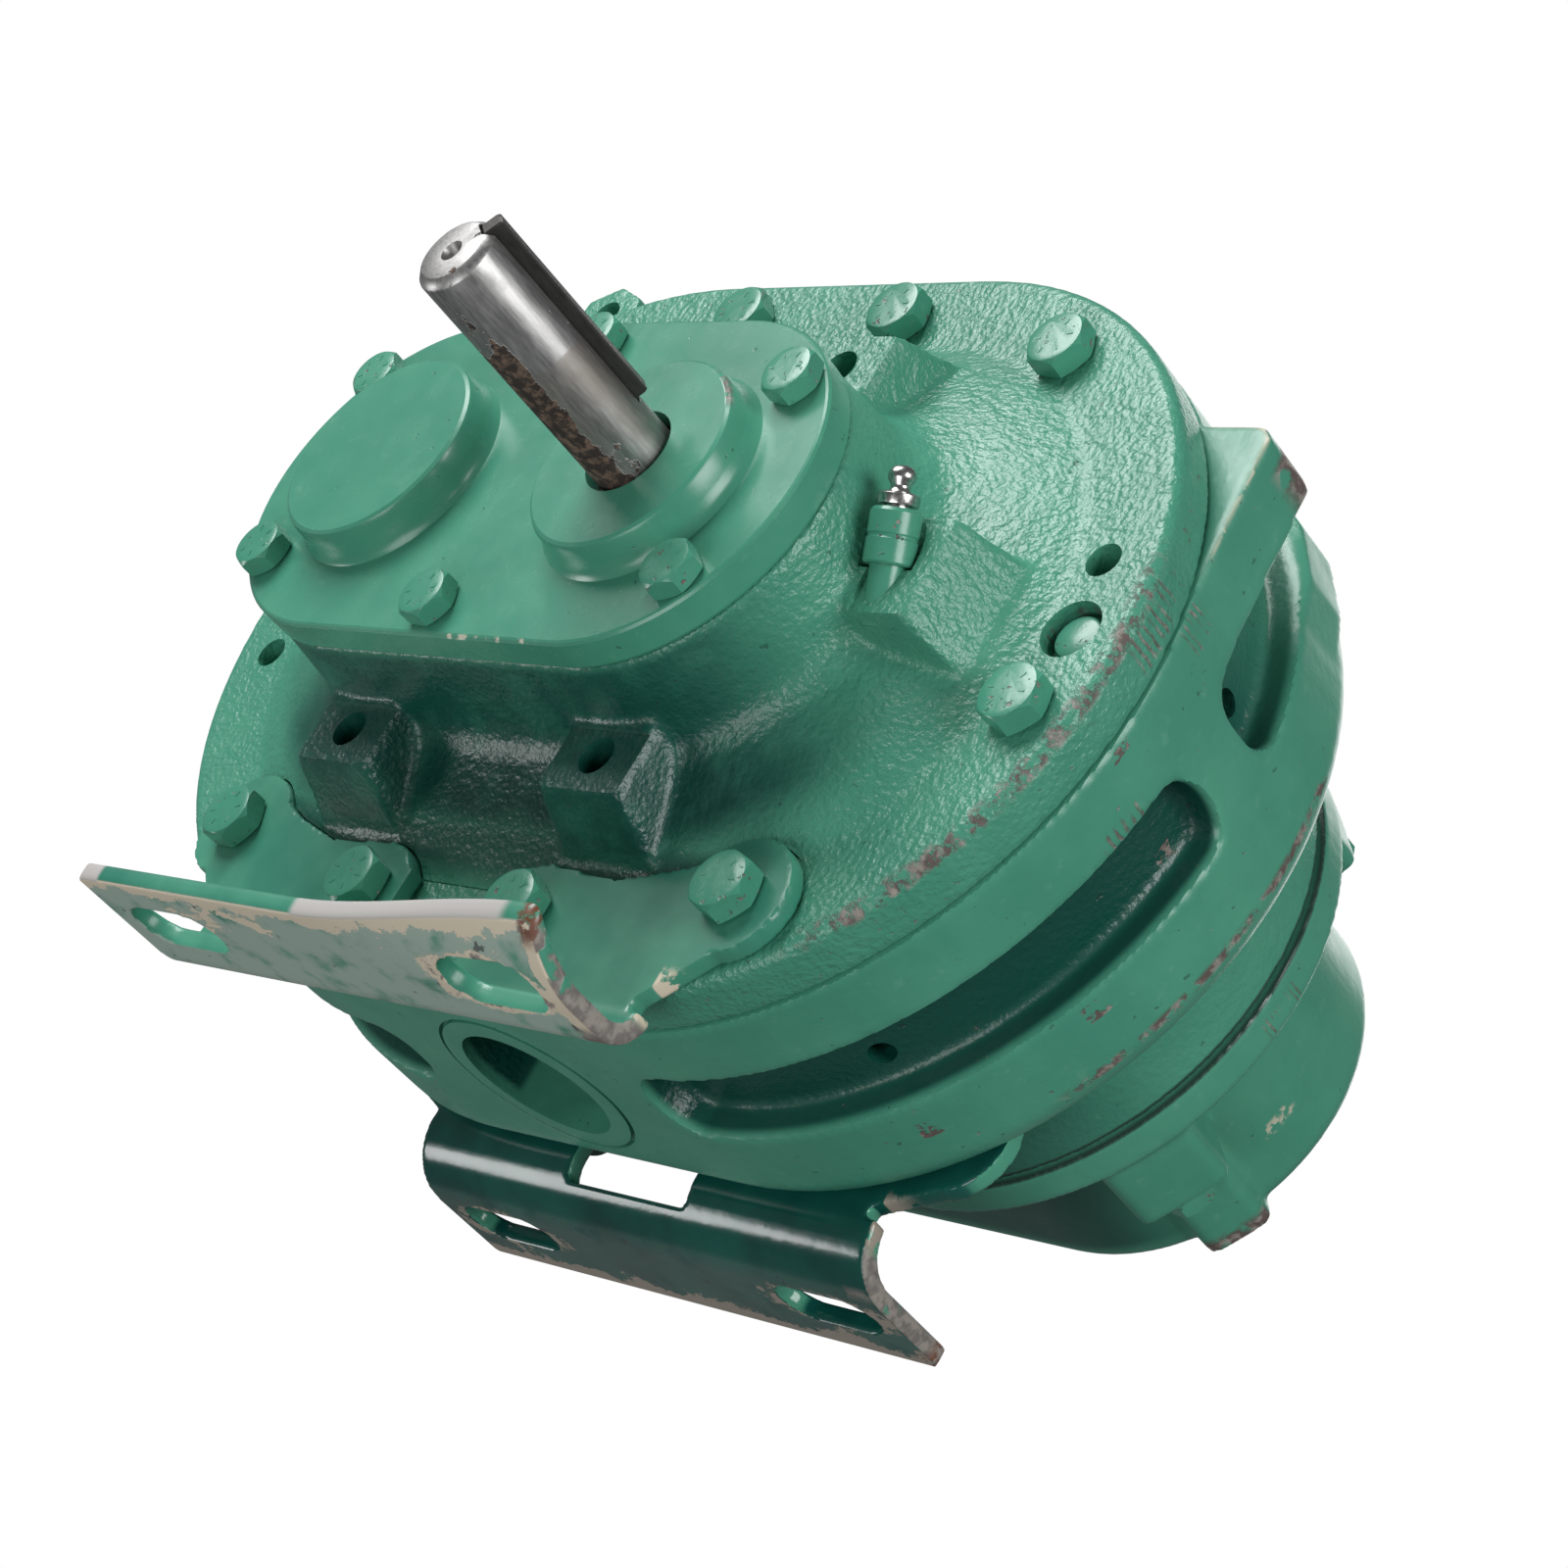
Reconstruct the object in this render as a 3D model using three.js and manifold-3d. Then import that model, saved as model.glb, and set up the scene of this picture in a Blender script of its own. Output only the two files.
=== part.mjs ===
// Twin-shaft industrial gearbox: a keyed drive shaft turns a matched pair of timing gears
// that keep two intermeshing lobed rotors in step inside an oval cast housing on two bracket feet.
// Units are millimetres. X runs across the two shafts, Y from the drive end to the gear end, Z up.
import * as THREE from 'three';
import { mergeVertices } from 'three/addons/utils/BufferGeometryUtils.js';
import Module from 'manifold-3d';

// ---- driving dimensions -------------------------------------------------------------------
const CENTRES = 101.6;            // distance between the two shaft axes
const HALF = CENTRES / 2;
const AXIS_HEIGHT = 133;          // shaft axes above the soles of the feet
const MID_LENGTH = 98.1;          // middle of the overall length, measured from the cover face

const FLANGE_R = 118.5;           // end radius of the oval housing and head plate
const COVER_R = 52.8;             // end radius of the drive-end cover
const COVER_T = 10;
const HEAD_FRONT = 10.3;          // drive-end head plate: pedestal front, disc front, disc back
const DISC_FRONT = 56.4;
const DISC_BACK = 71.5;
const BODY_FRONT = 71.8;          // housing: rims, belt groove, rear face, neck
const GROOVE_FRONT = 93.2;
const GROOVE_BACK = 119.2;
const GROOVE_R = 108;
const RIM_EDGE = 142;
const BODY_BACK = 150.7;
const NECK_R = 85.6;
const NECK_BACK = 192.9;
const CASE_FRONT = 193.3;         // gear case: flange and hub
const CASE_FLANGE = 206;
const CASE_BACK = 270.5;
const CASE_FLANGE_R = 86.7;
const HUB_R = 62.9;
const CHAMBER_R = 76.6;           // rotor chamber
const CHAMBER_BACK = 142.3;
const PORT_Y = 108.2;             // round ports in the top and bottom of the housing
const PORT_R = 22.6;
const PORT_RING_R = 29;
const PORT_FACE = 119;

const SHAFT_R = 11.1;             // drive shaft, 7/8 inch
const SHAFT_TIP = -82.6;
const KEY_W = 4.8;
const KEY_TURN = 49 * Math.PI / 180;
const KEY_END = -22;
const SMALL_BOLT = { r: 4.76, across: 14.29, head: 6.1 };     // 3/8 inch, covers
const LARGE_BOLT = { r: 5.56, across: 16.2, head: 7.1 };      // 7/16 inch, head plate and feet
const GAP = 0.3;                  // running and seating clearance

const TEETH = 32;                 // timing gears
const MODULE = CENTRES / TEETH;

// ---- colours ------------------------------------------------------------------------------
const PAINT = { color: 0x4f9c80, roughness: 0.42, metalness: 0.05 };
const PAINT_DARK = { color: 0x2f7763, roughness: 0.38, metalness: 0.05 };
const STEEL = { color: 0xb4b2ad, roughness: 0.3, metalness: 0.95 };
const BLACK_STEEL = { color: 0x2b2c2e, roughness: 0.5, metalness: 0.8 };
const CAST = { color: 0x6d6c69, roughness: 0.6, metalness: 0.8 };
const RUBBER = { color: 0x191919, roughness: 0.8, metalness: 0 };

const wasm = await Module();
wasm.setup();
const group = new THREE.Group();
group.name = 'industrial_gearbox';

// ---- geometry helpers ---------------------------------------------------------------------
function solid(geometry) {
  let g = geometry.clone();
  g.deleteAttribute('normal');
  g.deleteAttribute('uv');
  g = mergeVertices(g, 1e-4);
  const p = g.attributes.position.array;
  const t = Uint32Array.from(g.index.array);
  let volume = 0;
  for (let i = 0; i < t.length; i += 3) {
    const [a, b, c] = [t[i] * 3, t[i + 1] * 3, t[i + 2] * 3];
    volume += p[a] * (p[b + 1] * p[c + 2] - p[b + 2] * p[c + 1])
      - p[a + 1] * (p[b] * p[c + 2] - p[b + 2] * p[c])
      + p[a + 2] * (p[b] * p[c + 1] - p[b + 1] * p[c]);
  }
  if (volume < 0) for (let i = 0; i < t.length; i += 3) [t[i], t[i + 1]] = [t[i + 1], t[i]];
  return new wasm.Manifold(new wasm.Mesh({ numProp: 3, vertProperties: Float32Array.from(p), triVerts: t }));
}

const join = (first, ...rest) => rest.reduce((a, b) => a.add(b), first);
const cut = (first, ...rest) => rest.reduce((a, b) => a.subtract(b), first);

function add(name, body, look) {
  const m = body.getMesh();
  const g = new THREE.BufferGeometry();
  g.setAttribute('position', new THREE.BufferAttribute(Float32Array.from(m.vertProperties), 3));
  g.setIndex(new THREE.BufferAttribute(Uint32Array.from(m.triVerts), 1));
  g.translate(0, -MID_LENGTH, AXIS_HEIGHT);
  const mesh = new THREE.Mesh(g, new THREE.MeshStandardMaterial({ ...look, name }));
  mesh.name = name;
  group.add(mesh);
}

// Oval outline: two half circles of radius r about the shaft axes, joined by flats.
function oval(r, n = 16) {
  const pts = [];
  for (const side of [1, -1]) {
    for (let i = 0; i <= n; i++) {
      const a = -Math.PI / 2 + Math.PI * i / n + (side < 0 ? Math.PI : 0);
      pts.push([side * HALF + r * Math.cos(a), r * Math.sin(a)]);
    }
  }
  return pts;
}

// Solid between outlines of equal point count stacked along Y; levels are [y, outline].
function loft(stack) {
  const flip = THREE.ShapeUtils.area(stack[0][1].map(([x, z]) => new THREE.Vector2(x, z))) < 0;
  const levels = stack.map(([y, pts]) => [y, flip ? [...pts].reverse() : pts]);
  const n = levels[0][1].length;
  const pos = levels.flatMap(([y, pts]) => pts.flatMap(([x, z]) => [x, y, z]));
  const index = [];
  for (let k = 0; k + 1 < levels.length; k++) {
    for (let i = 0; i < n; i++) {
      const j = (i + 1) % n;
      const [a, b, c, d] = [k * n + i, k * n + j, (k + 1) * n + j, (k + 1) * n + i];
      index.push(a, b, c, a, c, d);
    }
  }
  const flat = levels[0][1].map(([x, z]) => new THREE.Vector2(x, z));
  const last = (levels.length - 1) * n;
  for (const [a, b, c] of THREE.ShapeUtils.triangulateShape(flat, [])) {
    index.push(a, c, b, last + a, last + b, last + c);
  }
  const g = new THREE.BufferGeometry();
  g.setAttribute('position', new THREE.BufferAttribute(Float32Array.from(pos), 3));
  g.setIndex(index);
  return solid(g);
}
const ovalStack = (...levels) => loft(levels.map(([y, r]) => [y, oval(r)]));

// Flat outline in X and Z pushed from y0 to y1.
function plate(pts, y0, y1) {
  const shape = new THREE.Shape(pts.map(([x, z]) => new THREE.Vector2(x, z)));
  const g = new THREE.ExtrudeGeometry(shape, { depth: y1 - y0, bevelEnabled: false, curveSegments: 8 });
  g.rotateX(Math.PI / 2).translate(0, y1, 0);
  return solid(g);
}

function turned(profile, x = 0, z = 0, segments = 32) {
  const pts = profile.map(([r, y]) => new THREE.Vector2(r, y));
  const g = new THREE.LatheGeometry(pts, segments);
  g.translate(x, 0, z);
  return solid(g);
}
const rod = (r, y0, y1, x = 0, z = 0, n = 24) => turned([[0, y0], [r, y0], [r, y1], [0, y1]], x, z, n);
const ring = (r0, r1, y0, y1, x = 0, z = 0, n = 32) =>
  turned([[r0, y0], [r1, y0], [r1, y1], [r0, y1], [r0, y0]], x, z, n);
const pillar = (r, z0, z1, x, y, n = 28) => {
  const g = new THREE.CylinderGeometry(r, r, z1 - z0, n);
  return solid(g.rotateX(Math.PI / 2).translate(x, y, (z0 + z1) / 2));
};
const box = (x0, x1, y0, y1, z0, z1) => {
  const g = new THREE.BoxGeometry(x1 - x0, y1 - y0, z1 - z0);
  return solid(g.translate((x0 + x1) / 2, (y0 + y1) / 2, (z0 + z1) / 2));
};
const mirrorX = (m) => m.mirror([1, 0, 0]);
const both = (m) => m.add(mirrorX(m));

// Hexagon-head bolt along Y. The head stands off the face on the side given by dir.
function bolt(name, x, z, face, dir, length, size, look = PAINT, turn = 0) {
  const corner = size.across / Math.sqrt(3);
  const hex = new THREE.CylinderGeometry(corner, corner, size.head, 6);
  hex.rotateY(turn).translate(0, -size.head / 2, 0);
  const crown = turned([[0, 0], [corner + 1, 0], [corner + 1, -size.head + 1.1], [size.across / 2 - 0.3, -size.head],
    [0, -size.head]], 0, 0, 12);
  let body = join(solid(hex).intersect(crown), rod(size.r, -0.5, length, 0, 0, 8));
  if (dir > 0) body = body.mirror([0, 1, 0]);
  add(name, body.translate([x, face + dir * GAP, z]), look);
}
const boltHole = (x, z, y0, y1, size) => rod((size.r + GAP) / Math.cos(Math.PI / 10), y0, y1, x, z, 10);

// ---- drive-end cover ----------------------------------------------------------------------
const coverBolts = [[83.2, 30.5], [83.2, -30.5], [0, 43.4], [0, -43.4], [-83.2, 30.5], [-83.2, -30.5]];
{
  let cover = ovalStack([0, COVER_R - 1], [1, COVER_R], [COVER_T, COVER_R]);
  cover = join(cover,
    turned([[0, 1], [31.4, 1], [31, -2], [30.5, -9], [29.4, -10.1], [0, -10.1]], HALF, 0, 40),
    turned([[0, 1], [32, 1], [31.4, -2], [30.7, -10], [29.7, -11], [0, -11]], -HALF, 0, 40));
  cover = cut(cover, rod(12.7, -12, 12, HALF, 0, 32), rod(19, -4.6, 12, HALF, 0, 28),
    rod(24, -4, 12, -HALF, 0, 28), ...coverBolts.map(([x, z]) => boltHole(x, z, -1, 11, SMALL_BOLT)));
  add('drive_end_cover', cover, PAINT);
  coverBolts.forEach(([x, z], i) => bolt(`cover_bolt_${i + 1}`, x, z, 0, -1, 26, SMALL_BOLT, PAINT, 0.35 * i));
}
{
  const seal = turned([[11.5, -3.9], [18.7, -3.9], [18.7, 3], [15, 3], [15, -1.5], [12.4, -0.2], [11.5, -1.6],
    [11.5, -3.9]], HALF, 0, 24);
  add('drive_shaft_seal', seal, RUBBER);
}

// ---- drive-end head plate -----------------------------------------------------------------
const headBolts = [[150.6, -21.2], [-150.6, 21.2], [98, 89.7], [-98, 89.7], [31, 102.2], [-31, 102.2]];
const footBolts = [[101, -86], [33, -99.5], [-101, -86], [-33, -99.5]];
const rearFootBolts = [[104, -88.5], [33, -103], [-104, -88.5], [-33, -103]];
const GREASE_AT = new THREE.Vector3(112, 31.5, -3);
const GREASE_DIR = new THREE.Vector3(0, -0.475, 0.88).normalize();

// Part turned about Y, laid along the lubrication axis starting at GREASE_AT.
function alongGrease(profile, segments) {
  const g = new THREE.LatheGeometry(profile.map(([r, s]) => new THREE.Vector2(r, s)), segments);
  g.applyQuaternion(new THREE.Quaternion().setFromUnitVectors(new THREE.Vector3(0, 1, 0), GREASE_DIR));
  g.translate(GREASE_AT.x, GREASE_AT.y, GREASE_AT.z);
  return solid(g);
}

// Cast pad beside the pedestal: front face at y = 31, spreading towards the disc.
function pad(x, z, turns) {
  const at = (y, w, r0, r1) => [y, [[-w, r0], [w, r0], [w, r1], [-w, r1]].map(([u, v]) => {
    const [c, s] = [Math.round(Math.cos(turns)), Math.round(Math.sin(turns))];
    return [x + u * c - v * s, z + u * s + v * c];
  })];
  return loft([at(31, 14, 42, 73), at(33, 15.5, 42, 75), at(DISC_FRONT + 1, 18, 42, 84)]);
}
{
  let head = ovalStack([HEAD_FRONT, 52], [13, 52.6], [34, 54.5], [40, 57.5], [44, 64], [47.5, 74], [51, 83],
    [54.5, 89], [DISC_FRONT, 91.5], [DISC_FRONT + 0.01, FLANGE_R - 2.2],
    [DISC_FRONT + 2.2, FLANGE_R], [DISC_BACK, FLANGE_R]);
  for (const side of [1, -1]) {
    head = join(head, pad(side * HALF, 0, 0), pad(side * HALF, 0, Math.PI),
      pad(side * HALF, 0, -side * Math.PI / 2));
  }
  // lifting ear on the far upper shoulder of the disc
  const earShape = [[-104, 86], [-85, 97], [-94, 118], [-105, 122.5], [-116, 117], [-118, 103]];
  head = join(head, loft([[60, earShape], [DISC_BACK, earShape]]));
  head = cut(head, rod(5, 50, 80, -104, 111, 14));
  for (const x of [HALF, -HALF]) {
    head = cut(head, rod(31, 5, 28.5, x, 0, 24), rod(27, 28, 62, x, 0, 20), rod(18.4, 60, 75, x, 0, 20));
    for (const z of [63.5, -63.5]) head = cut(head, rod(5.6, 20, 46, x, z, 12));
  }
  head = cut(head, ...coverBolts.map(([x, z]) => boltHole(x, z, 5, 28, SMALL_BOLT)),
    ...[...headBolts, ...footBolts].map(([x, z]) => boltHole(x, z, 50, 75, LARGE_BOLT)));
  // flat seat for the bracket foot
  head = cut(head, plate(uprightOutline(12, footBolts, 1), 49.5, DISC_FRONT));
  for (const side of [1, -1]) {
    head = cut(head, rod(5.1, 50, 68, side * 149.4, side * 23.8, 16),
      rod(8.6, 50, 62.4, side * 151.6, side * 2.7, 20), rod(6.3 + GAP, 60, 75, side * 151.6, side * 2.7, 16));
  }
  head = cut(head, alongGrease([[0, -14], [4.8, -14], [4.8, 2], [7.8, 2], [7.8, 14], [0, 14]], 16));
  add('drive_head_plate', head, PAINT);
}
headBolts.forEach(([x, z], i) => {
  bolt(`head_bolt_${i + 1}`, x, z, DISC_FRONT, -1, 36, LARGE_BOLT, PAINT, 0.2 + 0.4 * i);
});
for (const [i, side] of [1, -1].entries()) {
  add(`dowel_pin_${i + 1}`, turned([[0, 59], [5.6, 59], [6.3, 59.7], [6.3, 88], [0, 88]],
    side * 151.6, side * 2.7, 16), PAINT);
}
add('grease_bushing', alongGrease([[0, -13], [4.5, -13], [4.5, 2.3], [6.4, 2.3], [6.4, 15.5], [5.6, 16.3],
  [3.5, 16.3], [3.5, 6], [0, 6]], 18), PAINT);
add('grease_fitting', alongGrease([[0, 6.4], [3.2, 6.4], [3.2, 16.8], [5.2, 16.8], [5.2, 20], [3, 20.4], [2.6, 22],
  [3.6, 23.5], [3.4, 25.6], [1.8, 27], [0, 27]], 12), STEEL);

// ---- housing ------------------------------------------------------------------------------
// Squared ear on the upper outer shoulder of a rim.
const ear = (y0, y1) => loft([
  [y0, [[120, 60], [168.1, 0], [162.6, 76], [158.5, 80.2], [120, 80.2]]],
  [y1, [[120, 60], [168.1, 0], [162.6, 76], [158.5, 80.2], [120, 80.2]]]]);

// Belt pocket sunk into the rim between two angles about the drive axis.
function pocket(a0, a1) {
  const outline = (grow) => {
    const pts = [];
    const n = 8;
    const [b0, b1] = [a0 - grow, a1 + grow];
    for (let i = 0; i <= n; i++) {
      const a = (b0 + (b1 - b0) * i / n) * Math.PI / 180;
      pts.push([HALF + 135 * Math.cos(a), 135 * Math.sin(a)]);
    }
    for (let i = n; i >= 0; i--) {
      const a = (b0 + (b1 - b0) * i / n) * Math.PI / 180;
      pts.push([HALF + GROOVE_R * Math.cos(a), GROOVE_R * Math.sin(a)]);
    }
    return pts;
  };
  return loft([[GROOVE_FRONT, outline(-6)], [GROOVE_FRONT + 4, outline(-1.5)], [GROOVE_FRONT + 10, outline(0)],
    [GROOVE_BACK - 10, outline(0)], [GROOVE_BACK - 4, outline(-1.5)], [GROOVE_BACK, outline(-6)]]);
}
{
  let body = ovalStack([BODY_FRONT, FLANGE_R - 0.5], [BODY_FRONT + 0.5, FLANGE_R], [RIM_EDGE, FLANGE_R],
    [BODY_BACK - 1.5, FLANGE_R - 3.5], [BODY_BACK, FLANGE_R - 6], [BODY_BACK + 0.01, NECK_R + 3],
    [BODY_BACK + 3, NECK_R], [NECK_BACK, NECK_R]);
  body = join(body, both(ear(BODY_FRONT, GROOVE_FRONT)));
  const earRise = [[20, 100], [26, 118], [36, 121.2], [46, 123], [56, 122.6], [64, 120.4], [70, 117.5], [72, 100]];
  const rearEar = earRise.map(([a, r]) => [HALF + r * Math.cos(a * Math.PI / 180), r * Math.sin(a * Math.PI / 180)]);
  body = join(body, both(loft([[GROOVE_BACK + 1, rearEar], [RIM_EDGE - 3, rearEar]])));
  body = cut(body, both(pocket(-91, -4)), both(pocket(5, 91)));
  const portRing = pillar(PORT_RING_R, 110, PORT_FACE, 0, PORT_Y, 28);
  body = join(body, portRing, portRing.mirror([0, 0, 1]));
  for (const x of [HALF, -HALF]) {
    body = cut(body, rod(CHAMBER_R, BODY_FRONT - 1, CHAMBER_BACK, x, 0, 36), rod(24.4, 140, 153, x, 0, 20),
      rod(31, 152, 175, x, 0, 24));
  }
  body = cut(body, ovalStack([172, 68], [NECK_BACK + 1, 68]));
  body = cut(body, pillar(PORT_R, 92, PORT_FACE + 1, 0, PORT_Y, 28), pillar(PORT_R, -PORT_FACE - 1, -92, 0, PORT_Y, 28),
    pillar(19.5, -100, 100, 0, PORT_Y, 28));
  body = cut(body, ...[...headBolts, ...footBolts].map(([x, z]) => boltHole(x, z, 70, 94, LARGE_BOLT)),
    ...rearFootBolts.map(([x, z]) => boltHole(x, z, 128, 153, LARGE_BOLT)));
  for (const side of [1, -1]) body = cut(body, rod(6.3 + GAP, 70, 89, side * 151.6, side * 2.7, 16));
  // drain holes in the pocket floors
  for (const [a, y] of [[-57, 109.6], [11.5, 109]]) {
    const drill = new THREE.CylinderGeometry(3.8, 3.8, 20, 12);
    drill.rotateZ(-Math.PI / 2).translate(GROOVE_R, y, 0).rotateY(-a * Math.PI / 180).translate(HALF, 0, 0);
    body = cut(body, both(solid(drill)));
  }
  // tapped holes for the gear case bolts
  body = cut(body, ...caseBolts().map(([x, z]) => boltHole(x, z, 176, NECK_BACK + 1, SMALL_BOLT)));
  add('housing', body, PAINT);
}

// ---- gear case ----------------------------------------------------------------------------
function caseBolts() {
  const r = 75.2;
  const [c, s] = [r * Math.cos(43 * Math.PI / 180), r * Math.sin(43 * Math.PI / 180)];
  return [[HALF + c, s], [HALF + c, -s], [-HALF - c, s], [-HALF - c, -s]];
}
const UPPER_BOSS = 218;
const LOWER_BOSS = 231;
// Bolt boss on the gear case, standing out from the hub along the angle a; the lower ones run on as a ridge.
function caseBoss(a, back, ridge) {
  const block = (w, r1, y0, y1) => {
    const lip = 3;
    const pts = [[-w, 45], [w, 45], [w, r1 - lip], [w - lip, r1], [-w + lip, r1], [-w, r1 - lip]];
    const [c, s] = [Math.cos(a), Math.sin(a)];
    const at = (k) => pts.map(([u, v]) => [HALF - u * k * s + v * c, u * k * c + v * s]);
    return loft([[y0, at(1)], [y1 - 2, at(1)], [y1, at(0.9)]]);
  };
  const boss = block(14.4, 84, CASE_FLANGE - 1, back);
  return ridge ? join(boss, block(10.5, 66.5, back - 6, CASE_BACK + 1)) : boss;
}
{
  let gearCase = ovalStack([CASE_FRONT, CASE_FLANGE_R], [CASE_FLANGE - 1, CASE_FLANGE_R],
    [CASE_FLANGE, CASE_FLANGE_R - 1], [CASE_FLANGE + 0.01, HUB_R + 3], [CASE_FLANGE + 3, HUB_R],
    [CASE_BACK - 4, HUB_R - 0.6], [CASE_BACK - 1, HUB_R - 2], [CASE_BACK, HUB_R - 4]);
  const turn = 43 * Math.PI / 180;
  gearCase = join(gearCase, both(caseBoss(turn, UPPER_BOSS, false)), both(caseBoss(-turn, LOWER_BOSS, true)));
  gearCase = cut(gearCase, ovalStack([CASE_FRONT - 1, 57], [CASE_BACK - 7.5, 57]),
    ...caseBolts().map(([x, z]) => boltHole(x, z, 190, 235, SMALL_BOLT)));
  // fill port on top, level and drain ports on the back
  gearCase = join(gearCase, pillar(13, 55, 67, -30, 240, 24));
  gearCase = cut(gearCase, pillar(7 + GAP, 40, 70, -30, 240, 20), rod(7 + GAP, 255, 275, HALF, -38, 20));
  add('gear_case', gearCase, PAINT);
}
caseBolts().forEach(([x, z], i) => {
  const face = z > 0 ? UPPER_BOSS : LOWER_BOSS;
  bolt(`case_bolt_${i + 1}`, x, z, face, 1, face - 181, SMALL_BOLT, PAINT, 0.3 * i);
});
{
  const plug = (len) => join(turned([[0, 0], [7, 0], [7, len], [0, len]], 0, 0, 20),
    turned([[0, len - 0.5], [10.5, len - 0.5], [10.5, len + 2.2], [0, len + 2.2]], 0, 0, 20),
    solid(new THREE.CylinderGeometry(8, 8, 6, 6).translate(0, len + 4.5, 0)));
  add('fill_plug', plug(12).rotate([90, 0, 0]).translate([-30, 240, 67 - 12 + 0.5 + GAP]), PAINT);
  add('drain_plug', plug(9).translate([HALF, CASE_BACK - 9 + 0.5 + GAP, -38]), PAINT);
}

// ---- bracket feet -------------------------------------------------------------------------
// Outline of a bracket's upright: an ear around each bolt, drawn for one side and mirrored.
function uprightOutline(bend, bolts, grow = 0) {
  const edge = 86 + grow;
  const arc = (cx, cz, r, a0, a1, n) => Array.from({ length: n + 1 }, (_, i) => {
    const a = (a0 + (a1 - a0) * i / n) * Math.PI / 180;
    return [cx + r * Math.cos(a), cz + r * Math.sin(a)];
  });
  const right = [[edge, bend - AXIS_HEIGHT], [edge - 2, bend + 3 - AXIS_HEIGHT],
    ...arc(...bolts[0], 17 + grow, -80, 150, 9), [78, -81 + grow], [58, -86.5 + grow],
    ...arc(...bolts[1], 15 + grow, 75, 150, 3)];
  return [...right, ...right.map(([x, z]) => [-x, z]).reverse()];
}

// Angle bracket bent from plate. The upright carries four bolt ears; the sole runs away from it
// in the direction given by dir, and inner is the face that lies against the casting.
function bracket(inner, dir, reach, bend, notch, bolts, thick = 5.5) {
  const outer = inner + dir * thick;
  const sole = -AXIS_HEIGHT;
  const half = 91;
  const shift = 2;                // sole sits slightly off the middle
  const upright = plate(uprightOutline(bend, bolts), Math.min(inner, outer), Math.max(inner, outer));
  // bend and sole, drawn as a side profile and pushed across the width
  const profile = [];
  const turns = 6;
  for (let i = 0; i <= turns; i++) {
    const a = Math.PI / 2 * i / turns;
    profile.push([inner + dir * bend * (1 - Math.cos(a)), sole + bend * (1 - Math.sin(a))]);
  }
  profile.push([inner + dir * reach, sole], [inner + dir * reach, sole + thick]);
  for (let i = turns; i >= 0; i--) {
    const a = Math.PI / 2 * i / turns;
    const r = bend - thick;
    profile.push([inner + dir * (bend - r * Math.cos(a)), sole + bend - r * Math.sin(a)]);
  }
  const shape = new THREE.Shape(profile.map(([y, z]) => new THREE.Vector2(y, z)));
  const g = new THREE.ExtrudeGeometry(shape, { depth: 2 * half, bevelEnabled: false });
  // shape axes (y, z) and push along x
  g.applyMatrix4(new THREE.Matrix4().set(0, 0, 1, shift - half, 1, 0, 0, 0, 0, 1, 0, 0, 0, 0, 0, 1));
  let foot = cut(join(upright, solid(g)),
    box(-notch, notch, inner - 30, inner + 30, sole + 9, -80));
  const slotY = inner + dir * (reach - 20);
  for (const x of [shift + 65, shift - 65]) {
    foot = cut(foot, box(x - 10, x + 10, slotY - 8, slotY + 8, sole - 1, sole + thick + 1),
      ...[-10, 10].map((u) => pillar(8, sole - 1, sole + thick + 1, x + u, slotY, 16)));
  }
  // clipped corners of the sole
  for (const s of [1, -1]) {
    const y = inner + dir * reach;
    const corner = new THREE.BoxGeometry(8, 8, 40).rotateZ(Math.PI / 4)
      .translate(shift + s * (half + 2), y + dir * 2, sole);
    foot = cut(foot, solid(corner));
  }
  return cut(foot, ...bolts.map(([x, z]) => boltHole(x, z, Math.min(inner, outer) - 1,
    Math.max(inner, outer) + 1, LARGE_BOLT)));
}

add('drive_end_foot', bracket(DISC_FRONT - GAP, -1, 47, 12, 19, footBolts), PAINT);
// the rear bracket is cut out around the neck of the housing
const neckRoom = ovalStack([BODY_BACK - 1, NECK_R + 4], [NECK_BACK, NECK_R + 4]);
add('gear_end_foot', cut(bracket(BODY_BACK + GAP, 1, 46, 17, 24, rearFootBolts), neckRoom), PAINT_DARK);
footBolts.forEach(([x, z], i) => {
  bolt(`foot_bolt_${i + 1}`, x, z, DISC_FRONT - GAP - 5.5, -1, 40, LARGE_BOLT, PAINT, 0.5 * i);
});
rearFootBolts.forEach(([x, z], i) => {
  bolt(`rear_foot_bolt_${i + 1}`, x, z, BODY_BACK + GAP + 5.5, 1, 26, LARGE_BOLT, PAINT_DARK, 0.4 * i);
});

// ---- shafts -------------------------------------------------------------------------------
const journal = [[15, 8.8], [15, 31], [17.5, 31.8], [17.5, 153.2], [15, 154], [15, 200], [13.7, 200.6], [13.7, 233.2],
  [12, 233.6], [12, 252], [11, 253], [0, 253]];
{
  let drive = turned([[0, SHAFT_TIP], [9.1, SHAFT_TIP], [SHAFT_R, SHAFT_TIP + 2], [SHAFT_R, 8], ...journal], HALF, 0, 28);
  drive = cut(drive, turned([[0, SHAFT_TIP - 1], [3.1, SHAFT_TIP - 1], [2.4, SHAFT_TIP + 3], [0, SHAFT_TIP + 9]], HALF, 0, 12),
    keyBar(KEY_W + 0.6, SHAFT_R - 2.7, SHAFT_R + 5, SHAFT_TIP - 1, KEY_END + 1));
  add('drive_shaft', drive, STEEL);
  add('drive_key', keyBar(KEY_W, SHAFT_R - 2.4, SHAFT_R + 3.2, SHAFT_TIP + 0.4, KEY_END), BLACK_STEEL);
  add('driven_shaft', turned([[0, 8], [14, 8], ...journal], -HALF, 0, 24), STEEL);
}
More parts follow.
